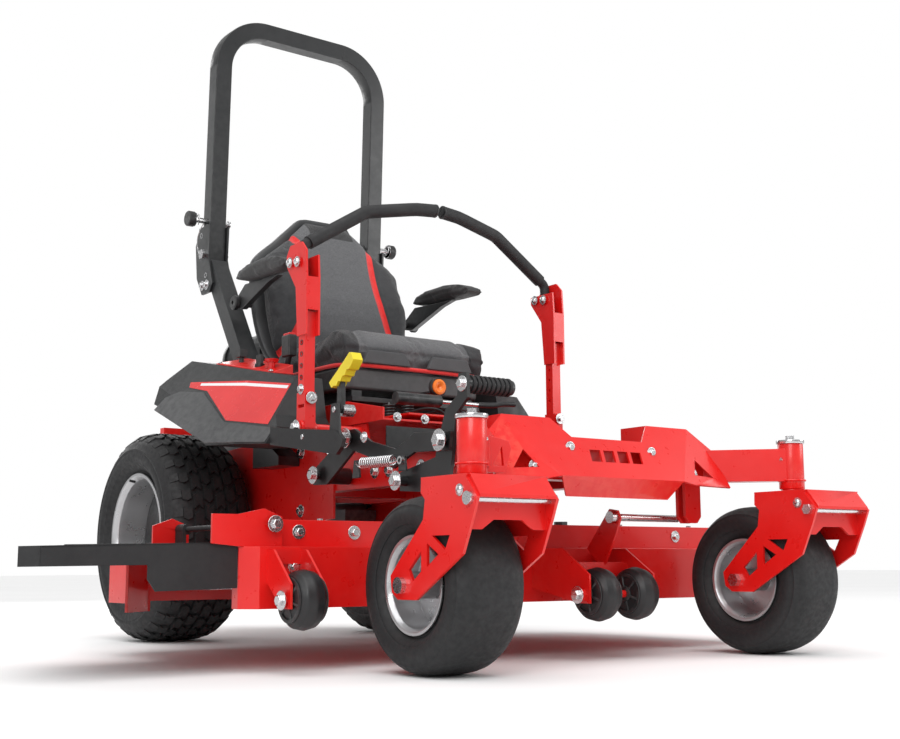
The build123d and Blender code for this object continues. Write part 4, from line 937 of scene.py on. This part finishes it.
# ---------------------------------------------------------------- deck lift, deck and rollers
coil("lift_spring", (LINK_FACE_X, -915, 428), (LINK_FACE_X, -1090, 424), 11, 2.2, 15, "bright_steel",
    "chassis", hooks=24)
lathe("lift_eyebolt", [(0, 5), (0, 9), (10, 9), (10, 5)], (-353, -1096, 423), "x", "bright_steel", "chassis",
    n=28)
prism("spring_anchor", [(-1110, 400), (-1080, 400), (-1086, 432), (-1104, 432)], -346, -340, "x",
    "black_steel", "chassis", bevel=1)
prism("spring_anchor_rear", [(-925, 396), (-895, 396), (-902, 436), (-920, 436)], -346, -340, "x",
    "black_steel", "chassis", bevel=1)
for k in range(9):
    lathe("foot_peg_rib_%d" % k, [(0, 15), (0, 18), (2, 19.5), (5, 19.5), (7, 18), (7, 15)],
        (-308 + 12 * k, -1285, 568), "x", "grip_rubber", "pedal", n=36)
bolt("pedal_bolt", (-352, -1080, 380), "x", 22, 9, "pedal", -1)
bolt("link_bolt_front", (LINK_FACE_X, -1234, 455), "x", 24, 10, "pedal", -1)
bolt("link_bolt_rear", (-346, -864, 490), "x", 24, 10, "crank", -1)
bolt("crank_bolt", (-340, -710, 415), "x", 22, 9, "crank", -1)
bolt("pedal_peg_bolt", (-325.7, -1285, 568), "x", 17, 8, "pedal", -1)
for k, x in enumerate(STUD_X):
    coil("stud_spring_%d" % k, (x, STUD_Y, 254), (x, STUD_Y, 288), 10, 1.6, 6, "bright_steel", "deck",
        hooks=2)
for k, x in enumerate((-520, 520)):
    tube("lift_chain_rod_%d" % k, [(x, -640, 246), (x, -640, 300)], 6, "bright_steel", "deck", order=2)
    brick("lift_chain_tab_%d" % k, x - 14, x + 14, -664, -656, 238, 290, "red_paint", "deck", bevel=1.5)
tube("idler_arm", [(-180, -760, 258), (-60, -700, 262)], 8, "black_steel", "deck", order=2)
lathe("idler_pulley", [(0, 8), (0, 46), (3, 48), (6, 42), (14, 42), (17, 48), (20, 46), (20, 8)],
    (-180, -760, 270), "z", "bright_steel", "deck", n=48)
coil("idler_spring", (-60, -706, 270), (150, -640, 270), 11, 2.0, 22, "bright_steel", "deck")


def wheel_hub(name, x, y, body):
    """Spoked sides of an anti-scalp roller."""
    for side in (-1, 1):
        lathe("%s_ring%d" % (name, side), [(0, 36), (0, 43), (side * 3, 43), (side * 3, 36)],
            (x + side * 28, y, ROLLER_Z), "x", "black_plastic", body, n=40)
        lathe("%s_hub%d" % (name, side), [(0, 9), (0, 17), (side * 5, 16), (side * 5, 9)],
            (x + side * 29, y, ROLLER_Z), "x", "grey_plastic", body, n=32)
        for k in range(6):
            a = math.pi * k / 3 + 0.3
            tube("%s_spoke%d_%d" % (name, side, k),
                [(x + side * 30, y + 15 * math.cos(a), ROLLER_Z + 15 * math.sin(a)),
                (x + side * 29, y + 38 * math.cos(a), ROLLER_Z + 38 * math.sin(a))], 2.6, "grey_plastic",
                body, order=2)


wheel_hub("roller_hub_r", -656, -1222, "roller_r")
wheel_hub("roller_hub_l", 656, -1222, "roller_l")
wheel_hub("roller_hub_a", 8, -1316, "rollers_mid")
wheel_hub("roller_hub_b", 118, -1316, "rollers_mid")
for k, (x, y, s) in enumerate(((-656, -1222, -1), (656, -1222, 1), (8, -1316, -1), (118, -1316, 1))):
    edge = x + s * (46 if abs(x) > 200 else 58 if s < 0 else 50)
    bolt("roller_bolt_%d" % k, (edge, y, ROLLER_Z), "x", 19, 8, "deck", s)
for k, y in enumerate((-1010, -911, -812)):
    prism("deflector_rib_%d" % k, [(-790, 247), (-1040 + 20 * k, 243), (-1040 + 20 * k, 239), (-790, 243)],
        y - 4, y + 4, "y", "grip_rubber", "deflector", bevel=1.5)
bolt("deflector_nut_front", (-672, -1140, 282), "y", 17, 8, "deflector", -1)
bolt("deflector_nut_rear", (-672, -682, 282), "y", 17, 8, "deflector", 1)
coil("deflector_spring", (-672, -1070, 282), (-672, -960, 282), 9.5, 1.8, 16, "bright_steel", "deflector",
    hooks=2)

# ---------------------------------------------------------------- engine and back
lathe("oil_filter", [(0, 1), (0, 36), (4, 38), (70, 38), (76, 34), (76, 1)], (158, 250, 520), "z",
    "decal_white", "chassis", n=48)
for s, letter in SIDES:
    tube("plug_lead_" + letter, [(s * 100, 60, 720), (s * 150, 20, 700), (s * 170, -20, 640),
        (s * 120, -30, 570)], 4, "black_plastic", "chassis", resolution=12)
    tube("hydraulic_hose_" + letter, [(s * 160, 60, 372), (s * 150, 130, 420), (s * 165, 250, 470),
        (s * 120, 330, 480)], 9, "grip_rubber", "chassis", resolution=12)
    lathe("transaxle_fan_" + letter, [(0, 6), (0, 70), (3, 72), (6, 70), (6, 6)], (s * 174, -40, 380.5), "z",
        "black_plastic", "chassis", n=48)
lathe("cleaner_clip_ring", [(0, 76.5), (0, 78.5), (6, 78.5), (6, 76.5)], (0, 246, 845), "y", "bright_steel",
    "chassis", n=64)
for k in range(10):
    a = 2 * math.pi * k / 10
    brick("shroud_slot_%d" % k, 78 * math.cos(a) - 14, 78 * math.cos(a) + 14, 150 + 78 * math.sin(a) - 3,
        150 + 78 * math.sin(a) + 3, 759, 762.5, "grey_plastic", "chassis", bevel=1)
tube("muffler_seam", [(-150, 375 + 52.5 * math.cos(t), 560 + 52.5 * math.sin(t))
    for t in [2 * math.pi * k / 32 for k in range(33)]], 2.5, "black_steel", "chassis")
tube("muffler_pipe", [(-60, 330, 560), (-90, 260, 540), (-90, 190, 520)], 15, "cast_metal", "chassis",
    resolution=12)

# ---------------------------------------------------------------- stage and camera
floor = bpy.data.meshes.new("floor")
floor.from_pydata([(-30, -30, -0.0005), (30, -30, -0.0005), (30, 30, -0.0005), (-30, 30, -0.0005)], [],
    [(0, 1, 2, 3)])
floor_object = new_object("floor", floor)
g = Graph("studio_floor")
g.color(g.ramp(g.noise(0.7, 2.0), [(0.3, (0.86, 0.86, 0.86)), (0.7, (0.89, 0.89, 0.89))]))
g.set(Roughness=0.75)
floor.materials.append(g.mat)


def area(name, place, target, size, power):
    """A rectangular lamp aimed at a point."""
    light = bpy.data.lights.new(name, "AREA")
    light.shape = "RECTANGLE"
    light.size, light.size_y = size
    light.energy = power
    o = new_object(name, light)
    o.location = place
    o.rotation_euler = (Vector(target) - Vector(place)).to_track_quat("-Z", "Y").to_euler()


sky = bpy.data.lights.new("top_soft", "SUN")
sky.energy = 1.9
sky.angle = math.radians(60)
sky_object = new_object("top_soft", sky)
sky_object.rotation_euler = (math.radians(18), math.radians(-14), 0)
area("front_left", (-3.6, -3.4, 2.6), (0, 0, 0.5), (2.4, 2.0), 75)
area("front_right", (3.6, -3.0, 2.2), (0, -0.2, 0.5), (2.0, 2.0), 55)
area("behind", (0.5, 4.2, 2.4), (0, 0, 0.8), (3.0, 2.0), 60)
world = bpy.data.worlds.new("studio")
bpy.context.scene.world = world
world.use_nodes = True
backdrop = world.node_tree.nodes["Background"]
backdrop.inputs["Color"].default_value = (1.0, 1.0, 1.0, 1.0)
seen = world.node_tree.nodes.new("ShaderNodeLightPath")
level = world.node_tree.nodes.new("ShaderNodeMapRange")
level.inputs["To Min"].default_value = 0.5
level.inputs["To Max"].default_value = 1.0
world.node_tree.links.new(seen.outputs["Is Camera Ray"], level.inputs["Value"])
world.node_tree.links.new(level.outputs["Result"], backdrop.inputs["Strength"])

# The camera stands ahead of the right front corner, low, and looks slightly upward along the machine.
camera_data = bpy.data.cameras.new("camera")
camera_data.sensor_width = 36.0
camera_data.lens = 50.43
camera = new_object("camera", camera_data)
right = Vector((0.80579692, -0.59216692, -0.00544655))
up = Vector((-0.08657045, -0.12689008, 0.98813181))
turn = Matrix((right, up, right.cross(up))).transposed().to_4x4()
camera.matrix_world = Matrix.Translation(at(-1857.9, -3324.8, 200.6)) @ turn
bpy.context.scene.camera = camera
bpy.context.scene.view_settings.view_transform = "Standard"
